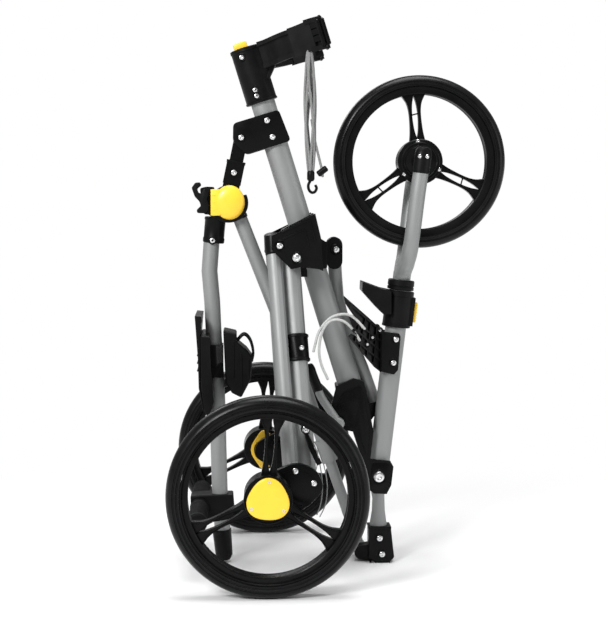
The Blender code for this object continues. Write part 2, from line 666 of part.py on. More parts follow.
def make_fold_strut_upper():
    """The strut from the handle's hinge to the bar between the legs, with a yoke on top."""
    start, end = (-0.0355, 0.5320), CROSSBAR
    body = side_tube("strut", [start, between(CROSSBAR, start, 0.004)], 0.0110, resolution=4)
    eye = pin("eye", end, -0.0122, 0.0122, 0.0120, 16)
    yoke = plate("yoke", hull((*HANDLE_PIVOT, 0.0262), (-0.0375, 0.5340, 0.0130)),
                 -0.0226, 0.0226, 0.0008)
    gapped = pin("slot", HANDLE_PIVOT, -0.0184, 0.0184, 0.0315, 32)
    upper = box("trim", (-0.0700, 0.0, 0.5600), (0.0520, 0.0368, 0.1200))
    cut(yoke, gapped, upper, pin("hole", HANDLE_PIVOT, -0.03, 0.03, BOLT_R + GAP))
    join(body, eye, yoke)
    cut(body, pin("bore", end, -0.03, 0.03, CROSSBAR_R + OPEN_PIVOT_PLAY, 12))
    part(body, "handle_strut", TUBE_GREY, point3(HANDLE_PIVOT))


def stem_path():
    return [(-0.0797, 0.5280), (-0.0830, 0.4980), (-0.0862, 0.4550), (-0.0822, 0.4070),
            (-0.0800, 0.3530), (-0.0765, 0.2890), (-0.0745, 0.2400), (-0.0735, 0.1800),
            (-0.0718, 0.1130), (-0.0675, 0.0450)]


def knob_outline():
    """A round knob with a square tongue towards the latch hook."""
    first, last = KNOB_TONGUE_ANGLES
    count = 26
    points = []
    for index in range(count + 1):
        angle = math.radians(first + (last - first) * index / count)
        points.append((HANDLE_PIVOT[0] + KNOB_R * math.cos(angle),
                       HANDLE_PIVOT[1] + KNOB_R * math.sin(angle)))
    foot_z, top_z = HANDLE_PIVOT[1] - KNOB_TONGUE_HALF_Z, HANDLE_PIVOT[1] + KNOB_TONGUE_HALF_Z
    return points + [(KNOB_TONGUE_X + 0.016, top_z), (KNOB_TONGUE_X, top_z), (KNOB_TONGUE_X, foot_z),
                     (KNOB_TONGUE_X + 0.014, foot_z)]


def make_handle():
    pivot = point3(HANDLE_PIVOT)
    hinge = plate("hinge", hull((*HANDLE_PIVOT, KNOB_R), count=28), -0.0125, 0.0125)
    neck = plate("neck", ribbon([HANDLE_PIVOT, (-0.0770, 0.5340)], 0.0120), -0.0122, 0.0122)
    socket = side_tube("socket", [(-0.0768, 0.5330), (-0.0800, 0.4990)], 0.0155, 0.0152, resolution=5)
    join(hinge, neck, socket)
    cut(hinge, side_tube("bore", [(-0.0796, 0.5283), (-0.0834, 0.4930)], STEM_R + GAP, resolution=5),
        pin("hole", HANDLE_PIVOT, -0.03, 0.03, BOLT_R + GAP))
    part(hinge, "handle_hinge", BLACK, pivot)

    knob = plate("knob", knob_outline(), -0.0330, -0.0230, 0.002)
    cut(knob, pin("well", HANDLE_PIVOT, -0.0293, -0.02, BOLT_R + GAP))
    part(knob, "handle_knob", YELLOW, pivot)
    bolt = pin("bolt", HANDLE_PIVOT, -0.0290, 0.0270, BOLT_R)
    join(bolt, pin("nut", HANDLE_PIVOT, 0.0230, 0.0300, 0.0140, 20))
    part(bolt, "handle_pivot_bolt", STEEL, pivot)

    claw = plate("claw", [(-0.0882, 0.5790), (-0.0915, 0.5860), (-0.0960, 0.5790), (-0.1010, 0.5840),
                          (-0.0995, 0.5935), (-0.1125, 0.5895), (-0.1155, 0.5710), (-0.1050, 0.5630),
                          (-0.1080, 0.5510), (-0.0910, 0.5425), (-0.0872, 0.5480),
                          (-0.0853, 0.5570), (-0.0853, 0.5630)],
                 -0.0320, -0.0250, 0.0008)
    part(claw, "latch_hook", BLACK, (-0.0885, -0.0285, 0.5600))

    stem = side_tube("stem", stem_path(), STEM_R, resolution=5)
    part(stem, "handle_stem", TUBE_GREY, pivot)
    cup = side_tube("cup", [(-0.0690, 0.0520), (-0.0655, 0.0120), (-0.0650, 0.0040)], 0.0150,
                    radii=[0.0150, 0.0135, 0.0090], resolution=5)
    cut(cup, side_tube("bore", [(-0.0712, 0.1000), (-0.0675, 0.0447)], STEM_R + GAP, resolution=5))
    part(cup, "stem_cap", BLACK, pivot)


def make_grips():
    pivot = point3(HANDLE_PIVOT)
    tee = plate("tee", [(-0.1170, 0.1075), (-0.1010, 0.1095), (-0.0510, 0.1095), (-0.0490, 0.0850),
                        (-0.0530, 0.0720), (-0.0830, 0.0670), (-0.1160, 0.0700)],
                -0.0190, 0.0190, 0.002)
    cut(tee, side_tube("bore", [(-0.0735, 0.1800), (-0.0718, 0.1130), (-0.0675, 0.0450)],
                       STEM_R + GAP, resolution=5),
        pin("bore", GRIP_AXIS, -0.05, 0.05, 0.0095 + GAP))
    part(tee, "handle_tee", BLACK, pivot)
    bar = pin("bar", GRIP_AXIS, -0.0300, 0.0300, 0.0095)
    for side in (1, -1):
        grip = pin("grip", GRIP_AXIS, side * 0.0195, side * GRIP_HALF_Y, GRIP_R, 20)
        join(bar, bevel(grip, 0.002))
    part(bar, "handle_grips", BLACK, pivot)


def make_console():
    """Score-card console on the stem: a tray, a lid hinged at its top and an umbrella clamp."""
    pivot = point3(HANDLE_PIVOT)
    tray = plate("tray", [(-0.0990, 0.3600), (-0.0965, 0.3600), (-0.0850, 0.3590), (-0.0830, 0.3100),
                          (-0.0790, 0.2600), (-0.0880, 0.2340), (-0.0940, 0.2480), (-0.0985, 0.2810)],
                 -0.0600, 0.0600, 0.001)
    bore_path = [(-0.0862, 0.4550), (-0.0822, 0.4070), (-0.0800, 0.3530), (-0.0765, 0.2890),
                 (-0.0745, 0.2400), (-0.0735, 0.1800)]
    clamp = box("clamp", (-0.0790, 0.0, 0.3170), (0.0270, 0.0390, 0.0500))
    join(tray, clamp)
    cut(tray, side_tube("bore", bore_path, STEM_R + GAP, resolution=5))
    part(tray, "console_tray", BLACK, pivot)
    lid = plate("lid", [(-0.1075, 0.3900), (-0.0970, 0.3890), (-0.0993, 0.3603), (-0.0993, 0.2810),
                        (-0.0945, 0.2475), (-0.0950, 0.2430), (-0.1020, 0.2810), (-0.1030, 0.3243),
                        (-0.1063, 0.3730)], -0.0580, 0.0580, 0.0006)
    part(lid, "console_lid", BLACK, (-0.1020, 0.0, 0.3890))
    holder = plate("holder", [(-0.0652, 0.3660), (-0.0447, 0.3613), (-0.0447, 0.3484),
                              (-0.0291, 0.3355), (-0.0206, 0.3239), (-0.0235, 0.2894),
                              (-0.0379, 0.2621), (-0.0522, 0.2694), (-0.0620, 0.2850)],
                   -0.0300, 0.0300, 0.002)
    cut(holder, side_tube("bore", bore_path, STEM_R + GAP, resolution=5),
        box("trim", (-0.0790, 0.0, 0.3170), (0.0276, 0.0396, 0.0506)))
    part(holder, "console_holder", BLACK, pivot)


# ---------------------------------------------------------------- folding strut
def make_fold_strut():
    """A telescopic strut between the bar on the legs and the front tube's foot."""
    length = math.dist(CROSSBAR, STRUT_FOOT)
    outer_end, cap_end, inner_start = 0.182, 0.203, 0.154
    y_in, y_out = STRUT_Y - 0.0100, STRUT_Y + 0.0100

    def at(distance):
        return between(CROSSBAR, STRUT_FOOT, distance)

    outer = side_tube("outer", [at(0.006), at(outer_end)], STRUT_OUTER_R, y=STRUT_Y, resolution=4)
    join(outer, pin("eye", CROSSBAR, y_in, y_out, 0.0110, 16),
         side_tube("cap", [at(outer_end - 0.016), at(cap_end)], STRUT_OUTER_R + 0.0024,
                   y=STRUT_Y, resolution=4))
    cut(outer, pin("hole", CROSSBAR, 0.0, 0.06, CROSSBAR_R + GAP, 12),
        side_tube("bore", [at(0.0215), at(0.25)], STRUT_INNER_R + GAP, y=STRUT_Y, resolution=4))
    part(outer, "fold_strut_outer", TUBE_GREY, point3(CROSSBAR, STRUT_Y))

    inner = side_tube("inner", [at(inner_start), at(length - 0.004)], STRUT_INNER_R, y=STRUT_Y,
                      resolution=4)
    join(inner, pin("eye", STRUT_FOOT, y_in, y_out, 0.0105, 16),
         pin("stub", STRUT_FOOT, 0.0172, y_in + 0.002, 0.0045, 12))
    part(inner, "fold_strut_inner", TUBE_GREY, point3(STRUT_FOOT, STRUT_Y))


# ---------------------------------------------------------------- front tube, fork and wheel
FRONT_TOP_S = 0.2900


def make_front_tube():
    pivot = point3(FRONT_PIVOT)
    path = [front(FRONT_TOP_S), front(0.020), front(-0.012), (0.1755, 0.1000), (0.1755, 0.0800),
            (0.1752, 0.0540), (0.1753, 0.0450)]
    radii = [FRONT_R, FRONT_R, 0.0120, 0.0096, 0.0102, 0.0142, 0.0145]
    body = side_tube("tube", path, FRONT_R, FRONT_HALF_Y, radii=radii, resolution=6)
    cut(body, pin("hole", FRONT_PIVOT, -0.03, 0.03, BOLT_R + GAP))
    part(body, "front_tube", TUBE_GREY, pivot)

    foot = plate("foot", [(0.1593, 0.0565), (0.1938, 0.0565), (0.1992, 0.0086), (0.1912, 0.0),
                          (0.1730, 0.0), (0.1600, 0.0080)], -0.0165, 0.0165, 0.001)
    ear = plate("ear", hull((*STRUT_FOOT, 0.0110), (0.1660, 0.0150, 0.0130)), -0.0060, 0.0160)
    rivets = [pin("rivet", centre, -0.0182, -0.0155, 0.0050, 12)
              for centre in ((0.1762, 0.0398), (0.1800, 0.0141))]
    join(foot, ear, *rivets)
    cut(foot, side_tube("bore", [(0.1752, 0.0700), (0.1752, 0.0540), (0.1753, 0.0447)],
                        0.0148, 0.0145 * FRONT_HALF_Y / FRONT_R + 0.0004, resolution=6))
    part(foot, "front_tube_foot", BLACK, pivot)


def make_bag_base():
    """Lower bag bracket: a plate on each side of the front tube with a ribbed wing that spreads."""
    for side in (1, -1):
        inner, outer = side * (FRONT_HALF_Y + 0.0012), side * (FRONT_HALF_Y + 0.0062)
        root = plate("root", [(0.1740, 0.3630), (0.2048, 0.3588), (0.2071, 0.3541),
                              (0.2035, 0.3025), (0.1973, 0.2955), (0.1740, 0.3010)], inner, outer,
                     0.0010)
        wing = plate("wing", [(0.1765, 0.3660), (0.1603, 0.3808), (0.1260, 0.4105),
                              (0.1213, 0.4089), (0.1430, 0.3770), (0.1385, 0.3809),
                              (0.1261, 0.3716), (0.1386, 0.3590), (0.1245, 0.3669),
                              (0.1199, 0.3638), (0.1386, 0.3419), (0.1637, 0.3110),
                              (0.1765, 0.2990)], inner, outer, 0.0008)
        spread = Matrix.Identity(4)
        spread[1][0] = -side * 1.6
        spread[1][3] = side * 1.6 * 0.1765
        wing.data.transform(spread)
        screws = [pin("screw", centre, outer - side * 0.001, outer + side * 0.0018, 0.0048, 12)
                  for centre in ((0.1994, 0.3503), (0.1956, 0.3143))]
        join(root, wing, *screws)
        part(root, "bag_base_" + side_name(side), BLACK, point3(FRONT_PIVOT))

    cord = side_tube("cord", [(0.1440, 0.3780), (0.1180, 0.3900), (0.0900, 0.3880),
                              (0.0740, 0.3700), (0.0700, 0.3450)], 0.0021, y=-0.0900, resolution=1)
    join(cord, side_tube("cord", [(0.1420, 0.3775), (0.1130, 0.3810), (0.0880, 0.3780),
                                  (0.0780, 0.3600), (0.0800, 0.3250), (0.0860, 0.2960)], 0.0021,
                         y=-0.0905, resolution=1))
    part(cord, "base_cord", CORD_GREY, point3(FRONT_PIVOT))


def make_steer_collar():
    pivot = point3(FRONT_PIVOT)
    low, high = 0.2330, 0.2890
    body = side_tube("collar", [front(low), front(high)], 0.0215, resolution=7)
    join(body, box("housing", point3(front(0.2585, 0.0180)), (0.0130, 0.0210, 0.0440), FRONT_TILT))
    cut(body, side_tube("bore", [front(low - 0.02), front(high + 0.02)], FRONT_R + GAP,
                        FRONT_HALF_Y + GAP, resolution=6),
        box("well", point3(front(0.2580, 0.0241)), (0.0118, 0.0130, 0.0320), FRONT_TILT))
    stop = plate("stop", [(0.1476, 0.4392), (0.1469, 0.4249), (0.1690, 0.4000), (0.1800, 0.3890),
                          (0.1920, 0.3890), (0.1920, 0.4250), (0.1777, 0.4280)], -0.0280, 0.0280,
                 0.0010)
    cut(stop, side_tube("seat", [front(low - 0.02), front(high + 0.02)], 0.0215 + GAP, resolution=7))
    part(body, "steer_collar", BLACK, pivot)
    part(stop, "bag_stop", BLACK, pivot)

    centre = front(0.2580, 0.0252)
    button = box("button", point3(centre), (0.0080, 0.0120, 0.0310), FRONT_TILT, 0.0012)
    part(button, "steer_button", YELLOW, point3(centre))


def make_fork():
    pivot = point3(front(FRONT_TOP_S))
    ring = side_tube("ring", [front(FRONT_TOP_S + 0.0006), front(FRONT_TOP_S + 0.0160)], 0.0200,
                     resolution=6)
    crown = side_tube("crown", [front(FRONT_TOP_S + 0.0100), front(FRONT_TOP_S + 0.0300)], 0.0125,
                      resolution=5)
    join(crown, ring)
    for side in (1, -1):
        arm = tube("arm", [(0.2108, side * 0.0040, 0.4470), (0.2125, side * 0.0110, 0.4560),
                           (0.2160, side * 0.0230, 0.4690), (0.2195, side * 0.0350, 0.4870),
                           (0.2232, side * 0.0420, 0.5200), (0.2303, side * 0.0450, 0.5735),
                           (0.2352, side * 0.0450, 0.6080)], 0.0110, resolution=4)
        cap = plate("cap", hull((0.2360, 0.6300, 0.0150), (0.2360, 0.6180, 0.0125), count=18),
                    side * 0.0355, side * 0.0550)
        rivets = [pin("rivet", (x, 0.6360), side * 0.0540, side * 0.0562, 0.0028, 8)
                  for x in (0.2310, 0.2410)]
        join(crown, arm, cap, *rivets)
    cut(crown, pin("bore", FRONT_AXLE, -0.0500, 0.0500, FRONT_AXLE_R + GAP))
    part(crown, "front_fork", TUBE_GREY, pivot)
    part(pin("axle", FRONT_AXLE, -0.0497, 0.0497, FRONT_AXLE_R), "front_axle", STEEL, pivot)


def make_front_wheel():
    rim = make_wheel(("front_tyre", "front_rim"), FRONT_AXLE, 0.0, FRONT_WHEEL_R,
                     FRONT_TYRE_HALF_W, FRONT_SEAT_R, FRONT_RIM_R, FRONT_AXLE_R,
                     (FRONT_HUB_R, -0.0200, 0.0200), SPOKE_ANGLES_FRONT)
    for side in (1, -1):
        join(rim, pin("disc", FRONT_AXLE, side * 0.0190, side * 0.0330, 0.0280, 24))
    cut(rim, pin("bore", FRONT_AXLE, -0.05, 0.05, FRONT_AXLE_R + GAP))


# ---------------------------------------------------------------- cords on the upper bracket
def make_upper_cord():
    """The looped elastic cord that hangs from the right arm, as one soft bundle."""
    t, y = bag_arm_path()[-3]
    top = spine(-0.0610, t)
    path = [(0.0660, top[1] - 0.0034), (0.0660, 0.7300), (0.0650, 0.6800), (0.0660, 0.6300),
            (0.0690, 0.5960)]
    cord = side_tube("cord", path, 0.0100, 0.0060, y=-y, radii=[0.0060, 0.0095, 0.0100, 0.0090, 0.0050],
                     resolution=2)
    part(cord, "bag_cord", CORD_GREY)
    hook = side_tube("hook", [(0.0640, 0.5950), (0.0620, 0.5820), (0.0650, 0.5740), (0.0715, 0.5725),
                              (0.0745, 0.5780)], 0.0022, y=-y, resolution=1)
    join(hook, box("toggle", (0.0700, -y, 0.5890), (0.0160, 0.0100, 0.0080), math.radians(-30)))
    part(hook, "cord_hook", BLACK)


def build():
    make_main_tube()
    make_upper_bracket()
    make_bag_arms()
    make_frame_plates()
    make_hub()
    make_brace()
    make_lower_casting()
    make_fold_catch()
    for side in (1, -1):
        make_leg(side)
        make_carrier(side)
        make_brake_lever(side)
        make_rear_wheel(side)
    make_leg_crossbar()
    make_arm()
    make_fold_strut_upper()
    make_handle()
    make_grips()
    make_console()
    make_fold_strut()
    make_front_tube()
    make_bag_base()
    make_steer_collar()
    make_fork()
    make_front_wheel()
    make_upper_cord()
    for obj in list(PARTS.objects) + list(CUTTERS.objects):
        obj.location.x -= FOOTPRINT_X


build()
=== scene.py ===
"""Looks for the folded golf push trolley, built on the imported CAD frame."""
import json
import math

import bmesh
import bpy
from mathutils import Matrix, Vector


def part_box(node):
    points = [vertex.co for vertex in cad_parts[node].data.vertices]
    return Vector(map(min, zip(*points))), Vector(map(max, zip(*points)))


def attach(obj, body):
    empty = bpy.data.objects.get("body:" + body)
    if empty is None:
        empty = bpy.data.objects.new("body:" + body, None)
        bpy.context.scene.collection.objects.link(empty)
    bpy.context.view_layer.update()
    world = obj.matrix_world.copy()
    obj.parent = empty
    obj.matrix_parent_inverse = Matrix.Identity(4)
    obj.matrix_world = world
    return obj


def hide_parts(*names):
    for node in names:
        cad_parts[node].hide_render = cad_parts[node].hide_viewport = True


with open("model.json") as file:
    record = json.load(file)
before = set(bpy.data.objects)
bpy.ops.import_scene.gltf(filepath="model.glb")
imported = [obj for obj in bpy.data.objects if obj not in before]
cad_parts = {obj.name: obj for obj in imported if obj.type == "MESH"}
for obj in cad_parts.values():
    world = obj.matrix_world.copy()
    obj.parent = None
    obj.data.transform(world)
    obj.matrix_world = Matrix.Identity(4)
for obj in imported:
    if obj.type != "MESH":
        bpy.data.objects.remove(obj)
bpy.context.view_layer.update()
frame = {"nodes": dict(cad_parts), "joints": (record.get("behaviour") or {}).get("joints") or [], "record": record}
JOINTS = {joint["name"]: joint for joint in frame["joints"]}
X_AXIS, Y_AXIS, Z_AXIS = Vector((1, 0, 0)), Vector((0, 1, 0)), Vector((0, 0, 1))
NEAR = -Y_AXIS                   # towards the camera
SIDES = ((1, Y_AXIS), (-1, NEAR))
NAMED_SIDES = ((1, Y_AXIS, "left"), (-1, NEAR, "right"))
WELD_DISTANCE = 0.00002
EDGE_WIDTH, EDGE_ANGLE = 0.0006, math.radians(42)  # softened edges of the carried-over CAD nodes
SMOOTH_ANGLE = math.radians(35)  # edges sharper than this stay sharp
CORNER_ANGLE = math.radians(50)  # a plate's corners over this are rounded off


# ---------------------------------------------------------------- places on the frame
def joint_at(name):
    """A hinge's point in the row frame."""
    return Vector(JOINTS[name]["pos_m"])


def joint_axis(name):
    return Vector(JOINTS[name]["axis"]).normalized()


def centre(node):
    low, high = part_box(node)
    return (low + high) / 2


def traced(point, outline):
    """An outline given from a joint in the side view, as (x, z) points of the row frame."""
    return [(point.x + dx, point.z + dz) for dx, dz in outline]


def new_object(name, data):
    obj = bpy.data.objects.new(name, data)
    bpy.context.scene.collection.objects.link(obj)
    return obj


# ---------------------------------------------------------------- node trees
def add_node(tree, kind, inputs=None, **settings):
    """A new node with its settings; an input takes a value or the output of another node."""
    node = tree.nodes.new(kind)
    for name, value in settings.items():
        setattr(node, name, value)
    for name, value in (inputs or {}).items():
        if isinstance(value, bpy.types.NodeSocket):
            tree.links.new(value, node.inputs[name])
        else:
            node.inputs[name].default_value = value
    return node


def geometry_group(name):
    """A new geometry node group and the geometry that comes into it."""
    group = bpy.data.node_groups.new(name, "GeometryNodeTree")
    for way in ("INPUT", "OUTPUT"):
        group.interface.new_socket("Geometry", in_out=way, socket_type="NodeSocketGeometry")
    return group, add_node(group, "NodeGroupInput").outputs[0]


# ---------------------------------------------------------------- materials
class Shader:
    """A Principled material with its node tree at hand."""
    noise_low, noise_high = 0.3, 0.7  # where nearly all of a noise texture's values lie

    def __init__(self, name, color, roughness, metallic=0.0, coat=0.0, specular=0.5):
        self.material = bpy.data.materials.new(name)
        self.material.use_nodes = True
        self.tree = self.material.node_tree
        self.principled = self.tree.nodes["Principled BSDF"]
        for socket, value in (("Base Color", (*color, 1.0)), ("Roughness", roughness),
                              ("Metallic", metallic), ("Coat Weight", coat),
                              ("Coat Roughness", 0.12), ("Specular IOR Level", specular)):
            self.principled.inputs[socket].default_value = value
        self.color, self.roughness = color, roughness
        self.coords = self.add("ShaderNodeTexCoord").outputs["Object"]

    def add(self, kind, inputs=None, **settings):
        return add_node(self.tree, kind, inputs, **settings)

    def feed(self, output, socket):
        self.tree.links.new(output, self.principled.inputs[socket])

    def noise(self, scale, detail=3.0, stretch=None):
        source = self.coords
        if stretch is not None:
            source = self.add("ShaderNodeMapping", {"Scale": stretch, "Vector": source}).outputs["Vector"]
        texture = self.add("ShaderNodeTexNoise",
                           {"Scale": scale, "Detail": detail, "Roughness": 0.55, "Vector": source})
        return texture.outputs["Fac"]

    def remap(self, value, low, high):
        """A noise value spread over low to high."""
        spread = self.add("ShaderNodeMapRange", {"From Min": self.noise_low, "From Max": self.noise_high,
                                                 "To Min": low, "To Max": high, "Value": value})
        return spread.outputs["Result"]

    def vary_color(self, value, dark, bright):
        """Colour runs between dark and bright multiples of the base colour."""
        mix = self.add("ShaderNodeMix", {
            "A": (*(c * dark for c in self.color), 1.0),
            "B": (*(min(1.0, c * bright) for c in self.color), 1.0),
            "Factor": self.remap(value, 0.0, 1.0)}, data_type="RGBA")
        self.feed(mix.outputs["Result"], "Base Color")

    def vary_roughness(self, value, spread):
        self.feed(self.remap(value, self.roughness - spread, self.roughness + spread), "Roughness")

    def bump(self, value, strength, distance):
        node = self.add("ShaderNodeBump", {"Strength": strength, "Distance": distance, "Height": value})
        self.feed(node.outputs["Normal"], "Normal")


def tube_paint():
    """Satin silver-grey paint: fine flake, slight orange peel and faint handling marks."""
    shader = Shader("tube_paint", (0.275, 0.281, 0.281), 0.5, 0.36, coat=0.02)
    flake = shader.noise(2600.0, 2.0)
    shader.vary_color(flake, 0.9, 1.1)
    shader.vary_roughness(shader.noise(18.0, 5.0), 0.06)
    shader.bump(shader.noise(420.0, 2.0), 0.05, 0.0004)
    return shader.material


def moulded_black(name="moulded_black", roughness=0.38, value=0.0042, grain=1500.0, depth=0.1):
    """Glass-filled nylon: fine spark-eroded grain and dull patches."""
    shader = Shader(name, (value, value, value * 1.04), roughness, specular=0.11)
    shader.vary_color(shader.noise(35.0, 4.0), 0.75, 1.35)
    shader.vary_roughness(shader.noise(60.0, 5.0), 0.07)
    shader.bump(shader.noise(grain, 3.0), depth, 0.0003)
    return shader.material


def tyre_rubber():
    shader = Shader("tyre_rubber", (0.0042, 0.0042, 0.0046), 0.3, specular=0.17)
    shader.vary_color(shader.noise(50.0, 4.0), 0.8, 1.5)
    shader.vary_roughness(shader.noise(40.0, 5.0), 0.08)
    shader.bump(shader.noise(900.0, 3.0), 0.08, 0.0003)
    return shader.material


def yellow_plastic():
    shader = Shader("yellow_plastic", (1.0, 0.62, 0.035), 0.36, coat=0.15)
    shader.vary_color(shader.noise(45.0, 3.0), 0.95, 1.03)
    shader.vary_roughness(shader.noise(70.0, 4.0), 0.06)
    shader.bump(shader.noise(1400.0, 2.0), 0.05, 0.0003)
    return shader.material


def bright_steel():
    shader = Shader("bright_steel", (0.78, 0.78, 0.79), 0.24, 1.0)
    shader.vary_roughness(shader.noise(900.0, 3.0, (1.0, 1.0, 6.0)), 0.1)
    shader.bump(shader.noise(1600.0, 2.0), 0.08, 0.0002)
    return shader.material


def cord_cloth(name="cord_cloth", value=0.52):
    """Braided elastic cord."""
    shader = Shader(name, (value, value * 1.02, value), 0.75, specular=0.25)
    weave = shader.add("ShaderNodeTexWave", {"Scale": 260.0, "Distortion": 2.0, "Detail": 1.0,
                                             "Vector": shader.coords}, bands_direction="DIAGONAL")
    shader.vary_color(shader.noise(700.0, 3.0), 0.7, 1.15)
    shader.bump(weave.outputs["Fac"], 0.5, 0.0004)
    return shader.material


MATERIALS = {
    "tube": tube_paint(),
    "black": moulded_black(),
    "coated": moulded_black("coated_metal", 0.27, 0.0032, 700.0, 0.05),
    "rim": moulded_black("rim_plastic", 0.28, 0.0038, 1200.0, 0.05),
    # the grip material: real foam on the handle grips; on the cradle pads its lighter colour is partly a painted
    # highlight on their curved face
    "grip": moulded_black("grip_foam_and_pad_highlight", 0.7, 0.008, 650.0, 0.35),
    "tyre": tyre_rubber(),
    "yellow": yellow_plastic(),
    "steel": bright_steel(),
    "cord": cord_cloth(),
    # a darker copy of the cord colour, used on the hanging bundle; the base loops keep the lighter one
    "weave": cord_cloth("darker_cord_copy", 0.24),
}
SLOT_MATERIAL = {
    "tube_grey": "tube", "black_casting": "black", "black_metal": "coated", "tyre": "tyre",
    "wheel": "rim", "yellow": "yellow", "cord": "cord", "steel": "steel", "grip": "grip",
}
MATERIAL_SLOT = {name: slot for slot, name in SLOT_MATERIAL.items()}
MATERIAL_SLOT["weave"] = "cord"


def smoothing_group():
    """Geometry nodes: weld, shade smooth, and keep edges over SMOOTH_ANGLE sharp."""
    group, geometry = geometry_group("smooth_by_angle")
    merge = add_node(group, "GeometryNodeMergeByDistance",
                     {"Geometry": geometry, "Distance": WELD_DISTANCE})
    faces = add_node(group, "GeometryNodeSetShadeSmooth", {"Geometry": merge.outputs["Geometry"]},
                     domain="FACE")
    angle = add_node(group, "GeometryNodeInputMeshEdgeAngle")
    sharp = add_node(group, "FunctionNodeCompare", {0: angle.outputs["Unsigned Angle"], 1: SMOOTH_ANGLE},
                     data_type="FLOAT", operation="GREATER_THAN")
    edges = add_node(group, "GeometryNodeSetShadeSmooth", {
        "Geometry": faces.outputs["Geometry"], "Selection": sharp.outputs["Result"],
        "Shade Smooth": False}, domain="EDGE")
    add_node(group, "NodeGroupOutput", {0: edges.outputs["Geometry"]})
    return group


SMOOTHING = smoothing_group()


def dress_node(node, material):
    """A carried-over CAD node: its material, softened edges and smooth shading."""
    obj = frame["nodes"][node]
    obj.data.materials.clear()
    obj.data.materials.append(MATERIALS[material])
    if "custom_normal" in obj.data.attributes:
        obj.data.attributes.remove(obj.data.attributes["custom_normal"])
    obj.modifiers.new("weld", "WELD").merge_threshold = WELD_DISTANCE
    bevel = obj.modifiers.new("edge", "BEVEL")
    bevel.width, bevel.segments = EDGE_WIDTH, 2
    bevel.limit_method, bevel.angle_limit = "ANGLE", EDGE_ANGLE
    obj.modifiers.new("smooth", "NODES").node_group = SMOOTHING
    obj.modifiers.new("weighted", "WEIGHTED_NORMAL").keep_sharp = True


for entry in frame["record"]["subparts"]:
    dress_node(entry["node"], SLOT_MATERIAL[entry["material_slot"]])


# ---------------------------------------------------------------- places derived from the frame
LEG_PIVOT = joint_at("frame_fold")
LINK_PIVOT = joint_at("link_turn")
ARM_PIVOT = joint_at("arm_turn")
HANDLE_PIVOT = joint_at("handle_fold")
FRONT_PIVOT = joint_at("front_tube_fold")
CROSSBAR = joint_at("fold_strut_turn")
LEG_FOOT = joint_at("carrier_turn")
FRONT_AXLE = joint_at("front_wheel_spin")
CATCH_PIVOT = joint_at("fold_catch_turn")
SPINE_DOWN = joint_axis("upper_button_press")
SPINE_SIDE = Vector((-SPINE_DOWN.z, 0.0, SPINE_DOWN.x))
SPINE_MIDDLE_S = 0.19           # distance down the main tube of its middle
FRONT_UP = joint_axis("fork_swivel")
FRONT_SIDE = Vector((FRONT_UP.z, 0.0, -FRONT_UP.x))
FRONT_TOP_S = 0.29              # distance up the front tube of the fork's seat


def off(point, dx, dz, y=0.0):
    """A point dx, dz from a joint in the side view, at the given Y."""
    return Vector((point.x + dx, y, point.z + dz))


def spine(s, t=0.0, y=0.0):
    point = centre("main_tube") + SPINE_DOWN * (s - SPINE_MIDDLE_S) + SPINE_SIDE * t
    return Vector((point.x, y, point.z))


def front(s, t=0.0, y=0.0):
    point = joint_at("fork_swivel") + FRONT_UP * (s - FRONT_TOP_S) + FRONT_SIDE * t
    return Vector((point.x, y, point.z))


def lerp(a, b, share):
    return a + (b - a) * share


# ---------------------------------------------------------------- mesh tools
def smooth_path(points, steps=8):
    """Catmull-Rom points through the given ones."""
    points = [Vector(p) for p in points]
    ends = [points[0] * 2 - points[1]] + points + [points[-1] * 2 - points[-2]]
    path = []
    for a, b, c, d in zip(ends, ends[1:], ends[2:], ends[3:]):
        for step in range(steps):
            t = step / steps
            path.append(0.5 * ((2 * b) + (c - a) * t + (2 * a - 5 * b + 4 * c - d) * t ** 2
                               + (3 * b - a - 3 * c + d) * t ** 3))
    return path + [points[-1]]


